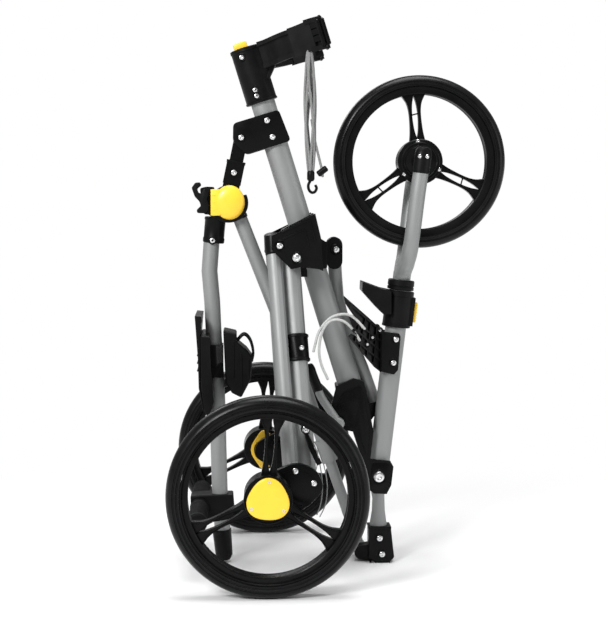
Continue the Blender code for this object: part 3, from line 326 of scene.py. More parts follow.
class Piece:
    """Closed shapes gathered in one mesh, then finished as an object that rides on a body."""

    def __init__(self):
        self.mesh = bmesh.new()

    def loft(self, sections):
        """A closed skin over rings of equal length; both ends are filled."""
        rings = [[self.mesh.verts.new(p) for p in ring] for ring in sections]
        count = len(rings[0])
        faces = [self.mesh.faces.new(rings[0][::-1]), self.mesh.faces.new(rings[-1])]
        for low, high in zip(rings, rings[1:]):
            for i in range(count):
                j = (i + 1) % count
                faces.append(self.mesh.faces.new((low[i], low[j], high[j], high[i])))
        bmesh.ops.recalc_face_normals(self.mesh, faces=faces)
        return self

    def rod(self, points, radius, sides=14, flat=1.0, round_ends=False):
        """A round bar along points; radius is a number or one per point, flat scales it along Y."""
        points = [Vector(p) for p in points]
        radii = [radius] * len(points) if isinstance(radius, float) else list(radius)
        if round_ends:
            first, last = (points[0] - points[1]).normalized(), (points[-1] - points[-2]).normalized()
            r0, r1 = radii[0], radii[-1]
            points = ([points[0] + first * r0 * 0.5, points[0] + first * r0 * 0.35] + points + [
                points[-1] + last * r1 * 0.35, points[-1] + last * r1 * 0.5])
            radii = [r0 * 0.45, r0 * 0.8] + radii + [r1 * 0.8, r1 * 0.45]
        tangent = (points[1] - points[0]).normalized()
        across = tangent.cross(Y_AXIS)
        if across.length < 0.2:
            across = tangent.cross(Z_AXIS)
        across.normalize()
        rings = []
        for i, point in enumerate(points):
            ahead = points[min(i + 1, len(points) - 1)] - points[max(i - 1, 0)]
            turn = tangent.rotation_difference(ahead.normalized())
            across = (turn @ across).normalized()
            tangent = ahead.normalized()
            other = tangent.cross(across)
            ring = ellipse(Vector(), across, other, radii[i], radii[i], sides)
            rings.append([point + Vector((arm.x, arm.y * flat, arm.z)) for arm in ring])
        return self.loft(rings)

    def ring(self, origin, axis, profile, steps):
        """A turned ring: its closed profile doesn't reach the axis."""
        return self.revolve(origin, axis, profile, steps, True)

    def revolve(self, origin, axis, profile, steps=32, closed=False):
        """Turn a profile of (radius, distance along the axis); closed profiles are rings."""
        axis = Vector(axis).normalized()
        across = axis.cross(Z_AXIS)
        if across.length < 0.2:
            across = axis.cross(X_AXIS)
        across.normalize()
        other = axis.cross(across)
        columns = []
        for k in range(steps):
            angle = math.tau * k / steps
            arm = across * math.cos(angle) + other * math.sin(angle)
            columns.append([self.mesh.verts.new(Vector(origin) + axis * d + arm * r) for r, d in profile])
        faces = []
        span = len(profile) if closed else len(profile) - 1
        for k in range(steps):
            near, far = columns[k], columns[(k + 1) % steps]
            for i in range(span):
                j = (i + 1) % len(profile)
                faces.append(self.mesh.faces.new((near[i], far[i], far[j], near[j])))
        if not closed:
            faces.append(self.mesh.faces.new([column[0] for column in columns]))
            faces.append(self.mesh.faces.new([column[-1] for column in columns][::-1]))
        bmesh.ops.recalc_face_normals(self.mesh, faces=faces)
        return self

    def plate(self, outline, y0, y1, soft=0.0, shear=0.0, shear_x=0.0):
        """A flat outline of (x, z) points from y0 to y1; shear slants it in Y with X from shear_x on."""
        low, high = min(y0, y1), max(y0, y1)
        shape = bmesh.new()
        verts = [shape.verts.new((x, low, z)) for x, z in outline]
        face = shape.faces.new(verts)
        extruded = bmesh.ops.extrude_face_region(shape, geom=[face])["geom"]
        bmesh.ops.translate(shape, vec=(0, high - low, 0),
                            verts=[e for e in extruded if isinstance(e, bmesh.types.BMVert)])
        bmesh.ops.recalc_face_normals(shape, faces=shape.faces)
        if soft > 0:
            self.soften(shape, [e for e in shape.edges if e.calc_face_angle(0) > CORNER_ANGLE], soft)
        if shear:
            for vert in shape.verts:
                vert.co.y += shear * (vert.co.x - shear_x)
        return self.merge(shape)

    def box(self, middle, size, turn=None, soft=0.0008):
        """A block with soft edges; turn is a rotation matrix."""
        shape = bmesh.new()
        bmesh.ops.create_cube(shape, size=1.0)
        bmesh.ops.scale(shape, vec=size, verts=shape.verts)
        self.soften(shape, list(shape.edges), soft)
        place = Matrix.Translation(middle) @ (turn or Matrix()).to_4x4()
        bmesh.ops.transform(shape, matrix=place, verts=shape.verts)
        return self.merge(shape)

    @staticmethod
    def soften(shape, edges, width):
        """Rounds edges off with two segments."""
        bmesh.ops.bevel(shape, geom=edges, offset=width, segments=2, profile=0.6, affect="EDGES",
                        clamp_overlap=True)

    def merge(self, shape):
        """Takes a shape's faces into this piece."""
        mesh = bpy.data.meshes.new("shape")
        shape.to_mesh(mesh)
        shape.free()
        self.mesh.from_mesh(mesh)
        bpy.data.meshes.remove(mesh)
        return self

    def rivet(self, point, axis, radius, height):
        """A bright head with a small dark hollow in its middle."""
        hollow = radius * 0.34
        profile = [(hollow * 0.6, height * 0.1), (hollow, height * 0.25), (hollow * 1.15, height),
                   (radius * 0.75, height * 0.92), (radius * 0.95, height * 0.55),
                   (radius, 0.0), (radius, -0.0012)]
        return self.revolve(point, axis, profile, 24)

    def done(self, name, body, material, *replaced):
        """The finished object, riding on a body and standing for the replaced CAD nodes."""
        mesh = bpy.data.meshes.new(name)
        self.mesh.to_mesh(mesh)
        self.mesh.free()
        obj = new_object(name, mesh)
        mesh.materials.append(MATERIALS[material])
        obj.modifiers.new("smooth", "NODES").node_group = SMOOTHING
        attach(obj, body)
        if replaced:
            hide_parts(*replaced)


def rounded(outline, radius, steps=5):
    """The outline with each corner rounded off."""
    points = []
    count = len(outline)
    for i, (x, z) in enumerate(outline):
        here = Vector((x, z))
        before, after = Vector(outline[i - 1]), Vector(outline[(i + 1) % count])
        reach = min(radius, (before - here).length * 0.45, (after - here).length * 0.45)
        start = here + (before - here).normalized() * reach
        end = here + (after - here).normalized() * reach
        for k in range(steps + 1):
            t = k / steps
            point = start * (1 - t) ** 2 + here * 2 * t * (1 - t) + end * t ** 2
            points.append((point.x, point.y))
    return points


def ellipse(middle, first, second, rx, ry, sides=32):
    return [middle + first * rx * math.cos(math.tau * k / sides)
            + second * ry * math.sin(math.tau * k / sides) for k in range(sides)]


BAR_TURN = Matrix.Rotation(-math.atan2(SPINE_DOWN.x, -SPINE_DOWN.z), 3, "Y")
FRONT_TURN = Matrix.Rotation(math.atan2(FRONT_UP.x, FRONT_UP.z), 3, "Y")


def barrel(piece, start, along, across, stations, sides):
    """Round sections along a straight line; stations are (distance, half across, half along Y)."""
    piece.loft([ellipse(start + along * d, across, Y_AXIS, rx, ry, sides) for d, rx, ry in stations])


def spine_sleeve(piece, stations):
    """Sleeve round the main tube; stations are (s, half along the side view, half along Y)."""
    piece.loft([ellipse(spine(s, -0.001), SPINE_SIDE, Y_AXIS, rx, ry) for s, rx, ry in stations])


def front_sleeve(piece, base, stations):
    """Sleeve round the front tube; stations are (distance up from base, radii)."""
    piece.loft([
        ellipse(front(base + s), FRONT_SIDE, Y_AXIS, radii[0], radii[-1]) for s, *radii in stations])


# ---------------------------------------------------------------- wheels
def tyre_profile(radius, half, seat):
    side = [
        (radius, 0.1), (radius - 0.0007, 0.13), (radius - 0.0007, 0.17), (radius - 0.0001, 0.2),
        (radius - 0.0004, 0.4), (radius - 0.0018, 0.62), (radius - 0.0042, 0.8), (radius - 0.0072, 0.93),
        (radius - 0.0092, 0.97), (radius - 0.01, 0.91), (radius - 0.011, 0.91), (radius - 0.0119, 0.985),
        (radius - 0.0142, 1.0), (radius - 0.0152, 0.93), (radius - 0.016, 0.93), (radius - 0.0168, 0.97),
        (seat + 0.0003, 0.95), (seat + 0.0003, 0.8)]
    points = [(r, w * half) for r, w in side]
    return points + [(r, -w) for r, w in points[::-1]]


def rim_profile(seat, rim, half):
    side = [(seat, 0.78), (seat - 0.0004, 0.9), (seat - 0.0022, 0.93), (seat - 0.0034, 0.86),
            (seat - 0.0044, 0.74), (lerp(seat, rim, 0.62), 0.72), (rim + 0.0016, 0.74),
            (rim, 0.68), (rim + 0.0006, 0.58), (rim + 0.0022, 0.18)]
    points = [(r, w * half) for r, w in side]
    return points + [(r, -w) for r, w in points[::-1]]


def spoke_point(middle, angle, r, w, y):
    cosine, sine = math.cos(angle), math.sin(angle)
    return Vector((middle.x + r * cosine - w * sine, y, middle.z + r * sine + w * cosine))


SPOKE_STATIONS = (                # share of the way out, half width, half width of the slot
    (0.0, 0.0122, 0.0), (0.08, 0.0112, 0.0002), (0.22, 0.0098, 0.0028), (0.45, 0.0089, 0.0044),
    (0.65, 0.0093, 0.0042), (0.8, 0.0116, 0.003), (0.91, 0.0158, 0.001), (1.0, 0.02, 0.0))


def add_spoke(piece, middle, degrees, root, tip, depth, cross_rib):
    """Two bowed rails that meet at the hub and at the rim, with a pointed slot between them."""
    angle, y = math.radians(degrees), middle.y
    first, last = root - 0.004, tip + 0.0015
    outer = smooth_path([(lerp(first, last, share), w, 0) for share, w, _ in SPOKE_STATIONS], 4)
    slot = smooth_path([(lerp(first, last, share), w, 0) for share, _, w in SPOKE_STATIONS], 4)
    crown, edge = depth - 0.001, 0.0008
    for side in (1, -1):
        sections = []
        for a, b in zip(outer, slot):
            ridge = min(0.0022, (a.y - b.y) * 0.3)
            section = [
                (b.y, -crown), (b.y + edge, -depth + 0.0022), (a.y - ridge, -depth + 0.0022),
                (a.y - ridge * 0.7, -depth), (a.y, -crown), (a.y, crown), (a.y - ridge * 0.7, depth),
                (a.y - ridge, depth - 0.0022), (b.y + edge, depth - 0.0022), (b.y, crown)]
            sections.append([spoke_point(middle, angle, a.x, side * w, y + d) for w, d in section])
        piece.loft(sections)
    if cross_rib:
        r = lerp(root, tip, 0.56)
        ends = [spoke_point(middle, angle, r + d, w, y) for d, w in ((-0.001, 0.0062), (0.001, -0.0062))]
        piece.rod(ends, 0.0011, 8)


def wheel(tyre, body, seat, rim_r, hub_r, hub, angles, cross_rib):
    """The tyre as a piece of its own, and the rim, spokes and hub barrel as an unfinished one."""
    low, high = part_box(tyre)
    middle, radius, half = (low + high) / 2, (high.z - low.z) / 2, (high.y - low.y) / 2
    Piece().ring(middle, Y_AXIS, tyre_profile(radius, half, seat), 144).done(
        tyre + "_rubber", body, "tyre", tyre)
    spokes = Piece().ring(middle, Y_AXIS, rim_profile(seat, rim_r, half), 144)
    for angle in angles:
        add_spoke(spokes, middle, angle, hub_r, rim_r, 0.0068, cross_rib)
    (y0, y1), lip = hub, 0.0012
    spokes.ring(Vector((middle.x, 0, middle.z)), Y_AXIS, [
        (0.0064, y0), (hub_r - 0.006, y0), (hub_r - 0.005, y0 + lip), (hub_r - 0.0015, y0 + lip),
        (hub_r, y0 + 2 * lip), (hub_r, y1 - 2 * lip), (hub_r - 0.0015, y1 - lip),
        (hub_r - 0.005, y1 - lip), (hub_r - 0.006, y1), (0.0064, y1)], 64)
    return spokes, middle


REAR_ANGLES = (86.5, 206.5, 326.5)
FRONT_ANGLES = (95.5, 215.5, 335.5)


def rear_wheel(side, axis, name):
    body = "rear_wheel_" + name
    cap_low, cap_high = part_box("wheel_cap_" + name)
    outer = cap_high.y if side > 0 else cap_low.y
    face = cap_low.y if side > 0 else cap_high.y
    y_in = centre("rear_tyre_" + name).y - side * 0.022
    hub = (min(y_in, face - side * 0.0006), max(y_in, face - side * 0.0006))
    spokes, middle = wheel("rear_tyre_" + name, body, 0.125, 0.1135, 0.0342, hub, REAR_ANGLES, False)
    base = Vector((middle.x, 0, middle.z))
    shoulder = side * face
    spokes.ring(base, axis, [
        (0.0325, shoulder - 0.004), (0.0342, shoulder - 0.004), (0.0348, shoulder - 0.001),
        (0.0344, shoulder + 0.0016), (0.0332, shoulder + 0.0018), (0.0325, shoulder)], 64)
    spokes.ring(base, axis, [(0.0064, shoulder - 0.056), (0.0172, shoulder - 0.056),
                             (0.0172, shoulder - 0.044), (0.0064, shoulder - 0.044)], 40)
    spokes.done("rear_spider_" + name, body, "rim", "rear_rim_" + name)

    cap = Piece()
    height = side * outer - shoulder
    steps = 72

    def lobe(angle):
        return 0.0298 + 0.002 * math.cos(3 * (angle - math.radians(REAR_ANGLES[0])))

    rings = []
    for scale, lift in ((1.0, 0.0), (1.0, 0.55), (0.985, 0.72), (0.95, 0.86), (0.88, 0.95), (0.72, 1.02),
                        (0.5, 1.07), (0.25, 1.1), (0.06, 1.11)):
        rings.append([base + Vector((lobe(a) * scale * math.cos(a), side * (shoulder + height * lift),
                                     lobe(a) * scale * math.sin(a)))
                      for a in (math.tau * k / steps for k in range(steps))])
    cap.loft(rings)
    top = side * (shoulder + height)
    cap.done("wheel_cap_shell_" + name, body, "yellow", "wheel_cap_" + name)
    screws = Piece()
    for degrees in REAR_ANGLES:
        a = math.radians(degrees)
        spot = base + Vector((0.0262 * math.cos(a), top - side * 0.0005, 0.0262 * math.sin(a)))
        screws.revolve(spot, axis, [
            (0.0008, 0.0002), (0.0011, 0.001), (0.0022, 0.001), (0.0026, 0.0004), (0.0026, -0.0012)], 20)
    screws.done("wheel_cap_screws_" + name, body, "steel")


for each_side in NAMED_SIDES:
    rear_wheel(*each_side)


def front_wheel():
    spokes, middle = wheel("front_tyre", "front_wheel", 0.118, 0.103, 0.0345, (-0.02, 0.02),
                           FRONT_ANGLES, True)
    screws = Piece()
    for side, axis in SIDES:
        spokes.ring(middle, axis, [
            (0.0054, 0.019), (0.03, 0.019), (0.03, 0.0215), (0.0285, 0.0225), (0.0262, 0.0222),
            (0.0252, 0.026), (0.0225, 0.029), (0.015, 0.0302), (0.0142, 0.0325), (0.0054, 0.0328)], 56)
        for degrees in FRONT_ANGLES:
            a = math.radians(degrees + 2)
            spot = middle + Vector((0.031 * math.cos(a), side * 0.0196, 0.031 * math.sin(a)))
            screws.rivet(spot, axis, 0.0032, 0.0016)
    spokes.done("front_spider", "front_wheel", "rim", "front_rim")
    screws.done("front_hub_screws", "front_wheel", "steel")


front_wheel()


# ---------------------------------------------------------------- fork
def make_fork():
    ring, arms, caps, rivets = Piece(), Piece(), Piece(), Piece()
    front_sleeve(ring, FRONT_TOP_S, [
        (0.0004, 0.0188), (0.001, 0.0205), (0.005, 0.0207), (0.0056, 0.0196), (0.0066, 0.0196),
        (0.0072, 0.0207), (0.0148, 0.0205), (0.016, 0.0192)])
    front_sleeve(arms, FRONT_TOP_S,
                 [(0.012, 0.0135), (0.02, 0.0138, 0.015), (0.028, 0.0138, 0.0165), (0.034, 0.011, 0.014)])
    for side, axis in SIDES:
        path = [(-0.0252, 0.005, -0.1745), (-0.0236, 0.011, -0.166), (-0.0203, 0.0225, -0.153),
                (-0.0168, 0.033, -0.135), (-0.0128, 0.0412, -0.102), (-0.0068, 0.0448, -0.05),
                (-0.0016, 0.0452, -0.012)]
        points = [Vector((FRONT_AXLE.x + x, side * y, FRONT_AXLE.z + z)) for x, y, z in path]
        arms.rod(smooth_path(points, 6), [0.0128] * 12 + [0.0124] * 8 + [0.0118] * 17, 24)
        foot = off(FRONT_AXLE, -0.0024, -0.018, side * 0.0452)
        head = off(FRONT_AXLE, 0.0006, 0.006, side * 0.0452)
        along = (head - foot).normalized()
        across = along.cross(Y_AXIS).normalized()
        barrel(caps, foot, along, across, [
            (0.0, 0.0122, 0.012), (0.0008, 0.013, 0.0128), (0.02, 0.0134, 0.0126), (0.029, 0.0132, 0.0118),
            (0.035, 0.0118, 0.01), (0.0385, 0.0092, 0.0078), (0.04, 0.005, 0.004)], 28)
        caps.ring(off(FRONT_AXLE, 0, 0, side * 0.034), axis,
                  [(0.0054, 0.0), (0.0105, 0.0), (0.0115, 0.0015), (0.0115, 0.008), (0.0054, 0.008)], 32)
        for dx, dz in ((-0.0052, 0.0072), (0.0058, 0.0066)):
            rivets.rivet(off(FRONT_AXLE, dx, dz, side * 0.0566), axis, 0.0031, 0.0016)
    ring.done("fork_ring", "fork", "black", "front_fork")
    arms.done("fork_arms", "fork", "tube")
    caps.done("fork_end_caps", "fork", "black")
    rivets.done("fork_end_rivets", "fork", "steel")


make_fork()


# ---------------------------------------------------------------- upper bracket and bag arms
def make_upper_bracket():
    shell, screws = Piece(), Piece()
    spine_sleeve(shell, [(-0.099, 0.0225, 0.0192), (-0.0982, 0.0244, 0.0209), (-0.0935, 0.0247, 0.0212),
                         (-0.0925, 0.0236, 0.0201)])
    spine_sleeve(shell, [(-0.017, 0.0238, 0.0203), (-0.0163, 0.0247, 0.0212), (-0.0135, 0.0246, 0.0211),
                         (-0.0129, 0.0232, 0.0198)])
    for side, axis in SIDES:
        for s, t, r in ((-0.0855, -0.011, 0.0062), (-0.033, -0.0062, 0.006), (-0.0238, -0.0065, 0.006)):
            spot = spine(s, t, side * 0.0192)
            shell.ring(spot, axis, [(0.004, -0.002), (r, -0.002), (r + 0.0004, 0.001),
                                    (r - 0.0006, 0.002), (0.0045, 0.0018), (0.004, 0.0006)], 28)
            screws.rivet(spot + axis * 0.0002, axis, 0.0038, 0.0014)
        for thick, outline in (
                (0.0186, ((-0.0965, 0.016), (-0.0965, 0.034), (-0.0935, 0.034), (-0.0935, 0.016))),
                (0.018, ((-0.064, 0.016), (-0.064, 0.0345), (-0.059, 0.0335), (-0.043, 0.0185),
                          (-0.046, 0.016), (-0.058, 0.024)))):
            corners = [spine(s, t) for s, t in outline]
            shell.plate([(p.x, p.z) for p in corners], side * 0.012, side * thick, 0.0006)
    shell.done("bracket_lips", "frame", "black")
    screws.done("bracket_screws", "frame", "steel")


make_upper_bracket()


def bag_arm_section(t, y, nt, ny, top, foot, half):
    """Rounded upright section across the arm at one station of its plan."""
    ring = []
    lip = 0.0016
    corners = ((-half, foot + lip), (-half * 0.55, foot), (half * 0.55, foot), (half, foot + lip),
               (half, top - lip), (half * 0.55, top), (-half * 0.55, top), (-half, top - lip))
    for across, s in corners:
        point = spine(s, t + nt * across)
        ring.append(Vector((point.x, y + ny * across, point.z)))
    return ring


ARM_STEPS = 6                    # path points for each stretch of the arm's plan


def arm_band(piece, side, first, last, root, tip):
    """One band of the arm; root and tip give its (top s, foot s, half thickness) at its two ends."""
    path = smooth_path([(t, y, 0) for t, y in ARM_PLAN], ARM_STEPS)[first:last]
    sections = []
    for i, point in enumerate(path):
        ahead = (path[min(i + 1, len(path) - 1)] - path[max(i - 1, 0)]).normalized()
        top, foot, half = (lerp(a, b, i / (len(path) - 1)) for a, b in zip(root, tip))
        sections.append(bag_arm_section(point.x, side * point.y, -ahead.y, ahead.x * side, top, foot, half))
    piece.loft(sections)


ARM_PLAN = [(0.018, 0.0205), (0.032, 0.0265), (0.047, 0.047), (0.06, 0.06), (0.076, 0.066),
            (0.09, 0.078), (0.102, 0.09), (0.115, 0.094)]


def make_bag_arm(side, name):
    arm, slots, pad = Piece(), Piece(), Piece()
    last = ARM_STEPS * (len(ARM_PLAN) - 1) + 1
    for piece, start, end, root, tip in (  # start and end count path points
            (arm, 0, 22, (-0.0935, -0.0655, 0.0012), (-0.0945, -0.065, 0.0012)),
            (arm, 0, 22, (-0.0985, -0.0955, 0.0052), (-0.0985, -0.0958, 0.0052)),
            (arm, 0, 22, (-0.0645, -0.0612, 0.0052), (-0.0645, -0.0612, 0.0052)),
            (pad, 20, 36, (-0.1, -0.059, 0.0068), (-0.1005, -0.06, 0.0062)),
            (arm, 32, last, (-0.103, -0.099, 0.0076), (-0.1012, -0.0975, 0.0062)),
            (arm, 32, last, (-0.0615, -0.0575, 0.0076), (-0.0595, -0.056, 0.0062)),
            (arm, 34, last, (-0.1, -0.06, 0.0014), (-0.0985, -0.0585, 0.0014))):
        arm_band(piece, side, start, end, root, tip)
    for top, foot in ((-0.095, -0.09), (-0.085, -0.08), (-0.075, -0.07)):
        arm_band(slots, side, 35, last - 1, (top, foot, 0.0062), (top, foot, 0.0058))
    tip_t, tip_y = ARM_PLAN[-1]
    for s in (-0.1012, -0.0562):
        point = spine(s, tip_t - 0.003)
        arm.rod([Vector((point.x, side * (tip_y - 0.011), point.z)),
                 Vector((point.x, side * (tip_y + 0.006), point.z))], 0.003, 12, round_ends=True)
    for t, reach, radius in ((0.1075, 0.0092, 0.0034), (0.115, 0.008, 0.0034)):
        ends = [spine(s, t) for s in (-0.099, -0.0975, -0.0605, -0.059)]
        slots.rod([Vector((p.x, side * (tip_y + reach * 0.6), p.z)) for p in ends],
                  [radius * 0.6, radius, radius, radius * 0.6], 16)
    arm.done("bag_cradle_" + name, "frame", "black", "bag_arm_" + name)
    slots.done("strap_ladder_" + name, "frame", "coated")
    # the pads are a real raised band; their lighter grip colour is partly a painted highlight on the curved face
    pad.done("cradle_pad_" + name, "frame", "grip")


make_bag_arm(1, "left")
make_bag_arm(-1, "right")


# ---------------------------------------------------------------- cords
def strand_path(top, foot, turns, phase, width, depth):
    """One strand of a hanging bundle: it winds gently between two points."""
    points = []
    count = 10
    for i in range(count + 1):
        share = i / count
        swell = 0.3 + 0.7 * math.sin(math.pi * min(1.0, share * 1.02)) ** 0.8
        angle = phase + math.tau * turns * share
        middle = lerp(top, foot, share)
        points.append(middle + swell * Vector((width * math.cos(angle), depth * math.sin(angle), 0)))
    return smooth_path(points, 3)


def make_bag_cord():
    low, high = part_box("bag_cord")
    x, y = (low.x + high.x) / 2, (low.y + high.y) / 2
    top, foot = Vector((x - 0.001, y, high.z + 0.004)), Vector((x + 0.001, y, low.z + 0.002))
    cord = Piece()
    for index in range(8):
        phase = math.tau * index / 8
        cord.rod(strand_path(top, foot, 0.36 if index % 2 else -0.28, phase, 0.0082, 0.005), 0.0019, 8,
                 round_ends=True)
    toggle = Vector((foot.x + 0.017, y, foot.z + 0.009))
    cord.rod(smooth_path([
        lerp(top, foot, 0.55) + Vector((0.002, 0, 0)), lerp(top, foot, 0.72) + Vector((0.007, 0, 0)),
        lerp(top, foot, 0.86) + Vector((0.013, 0, 0)), toggle,
        toggle + Vector((0.0005, 0, -0.008))], 6), 0.0019, 8, round_ends=True)
    cord.done("elastic_strands", "frame", "weave", "bag_cord")
    hook = Piece()
    across = Vector((0.8, 0.0, 0.6))
    hook.rod([toggle - across * 0.0085, toggle - across * 0.007, toggle + across * 0.007,
              toggle + across * 0.0085], [0.0032, 0.0048, 0.0048, 0.0032], 16)
    hook.rod([foot + Vector((0, 0, 0.01)), foot + Vector((0, 0, 0.007)), foot + Vector((0, 0, -0.003)),
              foot + Vector((0, 0, -0.006))], [0.0038, 0.0056, 0.0056, 0.0036], 16)
    curl = [(0.0, -0.004), (-0.0035, -0.011), (-0.003, -0.018), (0.001, -0.0225), (0.006, -0.0215),
            (0.0085, -0.0165), (0.007, -0.012)]
    hook.rod(smooth_path([foot + Vector((x, 0, z)) for x, z in curl], 6), 0.0021, 10, round_ends=True)
    hook.done("elastic_hook", "frame", "black", "cord_hook")


def make_base_cord():
    low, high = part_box("base_cord")
    y = (low.y + high.y) / 2
    cord = Piece()
    first = [
        (1.02, 0.8), (0.8, 0.98), (0.6, 1.03), (0.35, 0.97), (0.14, 0.78), (0.05, 0.55), (0.02, 0.45)]
    second = [(0.92, 0.62), (0.78, 0.8), (0.58, 0.93), (0.36, 0.93), (0.2, 0.78), (0.13, 0.5),
              (0.17, 0.26), (0.3, 0.02)]
    for rows, dy in ((first, 0.001), (second, -0.001)):
        points = [Vector((lerp(low.x, high.x, fx), y + dy, lerp(low.z, high.z, fz))) for fx, fz in rows]
        cord.rod(smooth_path(points, 8), 0.002, 10, round_ends=True)
    cord.done("base_elastic", "front", "cord", "base_cord")


make_bag_cord()
make_base_cord()


# ---------------------------------------------------------------- frame: plates, hub, brace, casting
PLATE_OUTLINE = [(-0.012, 0.0215), (0.057, 0.0425), (0.0755, -0.0045), (0.008, -0.0255),
                 (-0.0125, -0.006)]  # from the arm's pivot


def make_frame_plates():
    for side, _, name in NAMED_SIDES:
        low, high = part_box("frame_plate_" + name)
        inner = low.y if side > 0 else high.y
        outline = rounded(traced(ARM_PIVOT, PLATE_OUTLINE), 0.006)
        Piece().plate(outline, inner, inner + side * 0.0037, 0.0009).done(
            "side_plate_" + name, "frame", "coated", "frame_plate_" + name)


def make_frame_details():
    rivets, lips = Piece(), Piece()
    plate_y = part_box("frame_plate_left")[1].y
    hub_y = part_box("hub_casting")[1].y
    for side, axis in SIDES:
        for dx, dz in ((0.0393, 0.0258), (0.0476, 0.001)):
            rivets.rivet(off(ARM_PIVOT, dx, dz, side * (plate_y + 0.0002)), axis, 0.0043, 0.0016)
        rivets.rivet(off(ARM_PIVOT, 0, 0, side * (plate_y + 0.0012)), axis, 0.0043, 0.0016)
        rivets.rivet(off(LINK_PIVOT, 0, 0, side * (hub_y + 0.0002)), axis, 0.0046, 0.0016)
        rivets.rivet(off(LEG_PIVOT, 0, 0, side * (hub_y + 0.0006)), axis, 0.005, 0.0016)
        outline = [(-0.02, 0.0455), (0.015, 0.0615), (0.028, 0.066), (0.037, 0.028),
                   (0.0345, 0.0285), (0.0262, 0.0628), (0.015, 0.0588), (-0.0185, 0.0432)]
        for share in (0.92, 0.7):
            lips.plate([
                (LEG_PIVOT.x + x * share - 0.008 * (1 - share) - 0.004, LEG_PIVOT.z + z * share - 0.003)
                for x, z in outline], side * 0.076, side * 0.0782, 0.0005)
        lips.ring(off(LEG_PIVOT, 0, 0, side * 0.0762), axis,
                  [(0.0072, 0.0), (0.0092, 0.0), (0.0092, 0.0012), (0.0084, 0.002), (0.0074, 0.0016)], 32)
        lips.ring(off(LINK_PIVOT, 0, 0, side * 0.0762), axis,
                  [(0.0072, 0.0), (0.0088, 0.0), (0.0088, 0.0012), (0.008, 0.0018), (0.0074, 0.0014)], 32)
    bolt = off(LEG_PIVOT, 0.0643, 0.0091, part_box("brace_cap")[0].y + 0.0012)
    rivets.rivet(bolt + NEAR * 0.0012, NEAR, 0.005, 0.0018)
    lips.ring(bolt, NEAR,
              [(0.0056, -0.002), (0.0088, -0.002), (0.0088, 0.001), (0.0078, 0.002), (0.006, 0.0016)], 32)
    rivets.done("frame_rivets", "frame", "steel")
    lips.done("casting_lips", "frame", "coated")


def make_pivot_pins():
    pins = Piece()
    low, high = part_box("leg_pivot_pin")
    radius = (high.z - low.z) / 2
    pins.revolve(Vector((LEG_PIVOT.x, low.y + 0.0008, LEG_PIVOT.z)), Y_AXIS, [
        (0.003, 0.0), (0.0036, 0.0), (radius * 0.8, 0.0), (radius * 0.95, 0.0008),
        (radius * 0.95, 0.0016), (0.0034, 0.0022), (0.0034, high.y - low.y - 0.004),
        (radius * 0.95, high.y - low.y - 0.0032), (radius * 0.95, high.y - low.y - 0.0022),
        (radius * 0.7, high.y - low.y - 0.0014)], 32)
    pins.done("leg_pin", "frame", "steel", "leg_pivot_pin")

    bolt = Piece()
    low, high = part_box("front_pivot_bolt")
    radius, length = 0.0085, high.y - low.y
    start = Vector((FRONT_PIVOT.x, low.y, FRONT_PIVOT.z))
    bolt.revolve(start, Y_AXIS, [
        (0.0018, 0.0014), (0.003, 0.0004), (0.0052, 0.0001), (radius * 0.88, 0.0008), (radius, 0.0022),
        (radius, 0.0036), (0.0049, 0.004), (0.0049, length - 0.0052)], 36)
    hexagon = [(FRONT_PIVOT.x + radius * math.cos(math.tau * k / 6),
                FRONT_PIVOT.z + radius * math.sin(math.tau * k / 6)) for k in range(6)]
    bolt.plate(hexagon, high.y - 0.0054, high.y - 0.0002, 0.0006)
    bolt.done("front_bolt", "frame", "steel", "front_pivot_bolt")
    washer = Piece()
    washer.ring(Vector((FRONT_PIVOT.x, -0.0222, FRONT_PIVOT.z)), NEAR,
                [(0.0092, 0.0), (0.0125, 0.0), (0.0125, 0.0008), (0.0115, 0.0018), (0.0096, 0.0014)], 36)
    washer.done("front_bolt_boss", "frame", "coated")


make_frame_plates()
make_frame_details()
make_pivot_pins()


# ---------------------------------------------------------------- arm, strut, handle
def make_arm_details():
    rivets, sleeve = Piece(), Piece()
    along = HANDLE_PIVOT - ARM_PIVOT
    along.y = 0
    along.normalize()
    across = Vector((-along.z, 0, along.x))
    spot = ARM_PIVOT + along * 0.054
    for side, axis in SIDES:
        rivets.rivet(Vector((spot.x, side * 0.0202, spot.z)), axis, 0.0043, 0.0014)
    for start, end in ((0.0358, 0.0385), (0.0392, 0.0402)):
        corners = [ARM_PIVOT + along * d + across * w for d, w in
                   ((start, -0.0145), (start, 0.0145), (end, 0.0145), (end, -0.0145))]
        sleeve.plate([(c.x, c.z) for c in corners], -0.0187, 0.0187, 0.0006)
    rivets.done("arm_rivets", "arm", "steel")
    sleeve.done("arm_sleeve_lips", "arm", "coated")


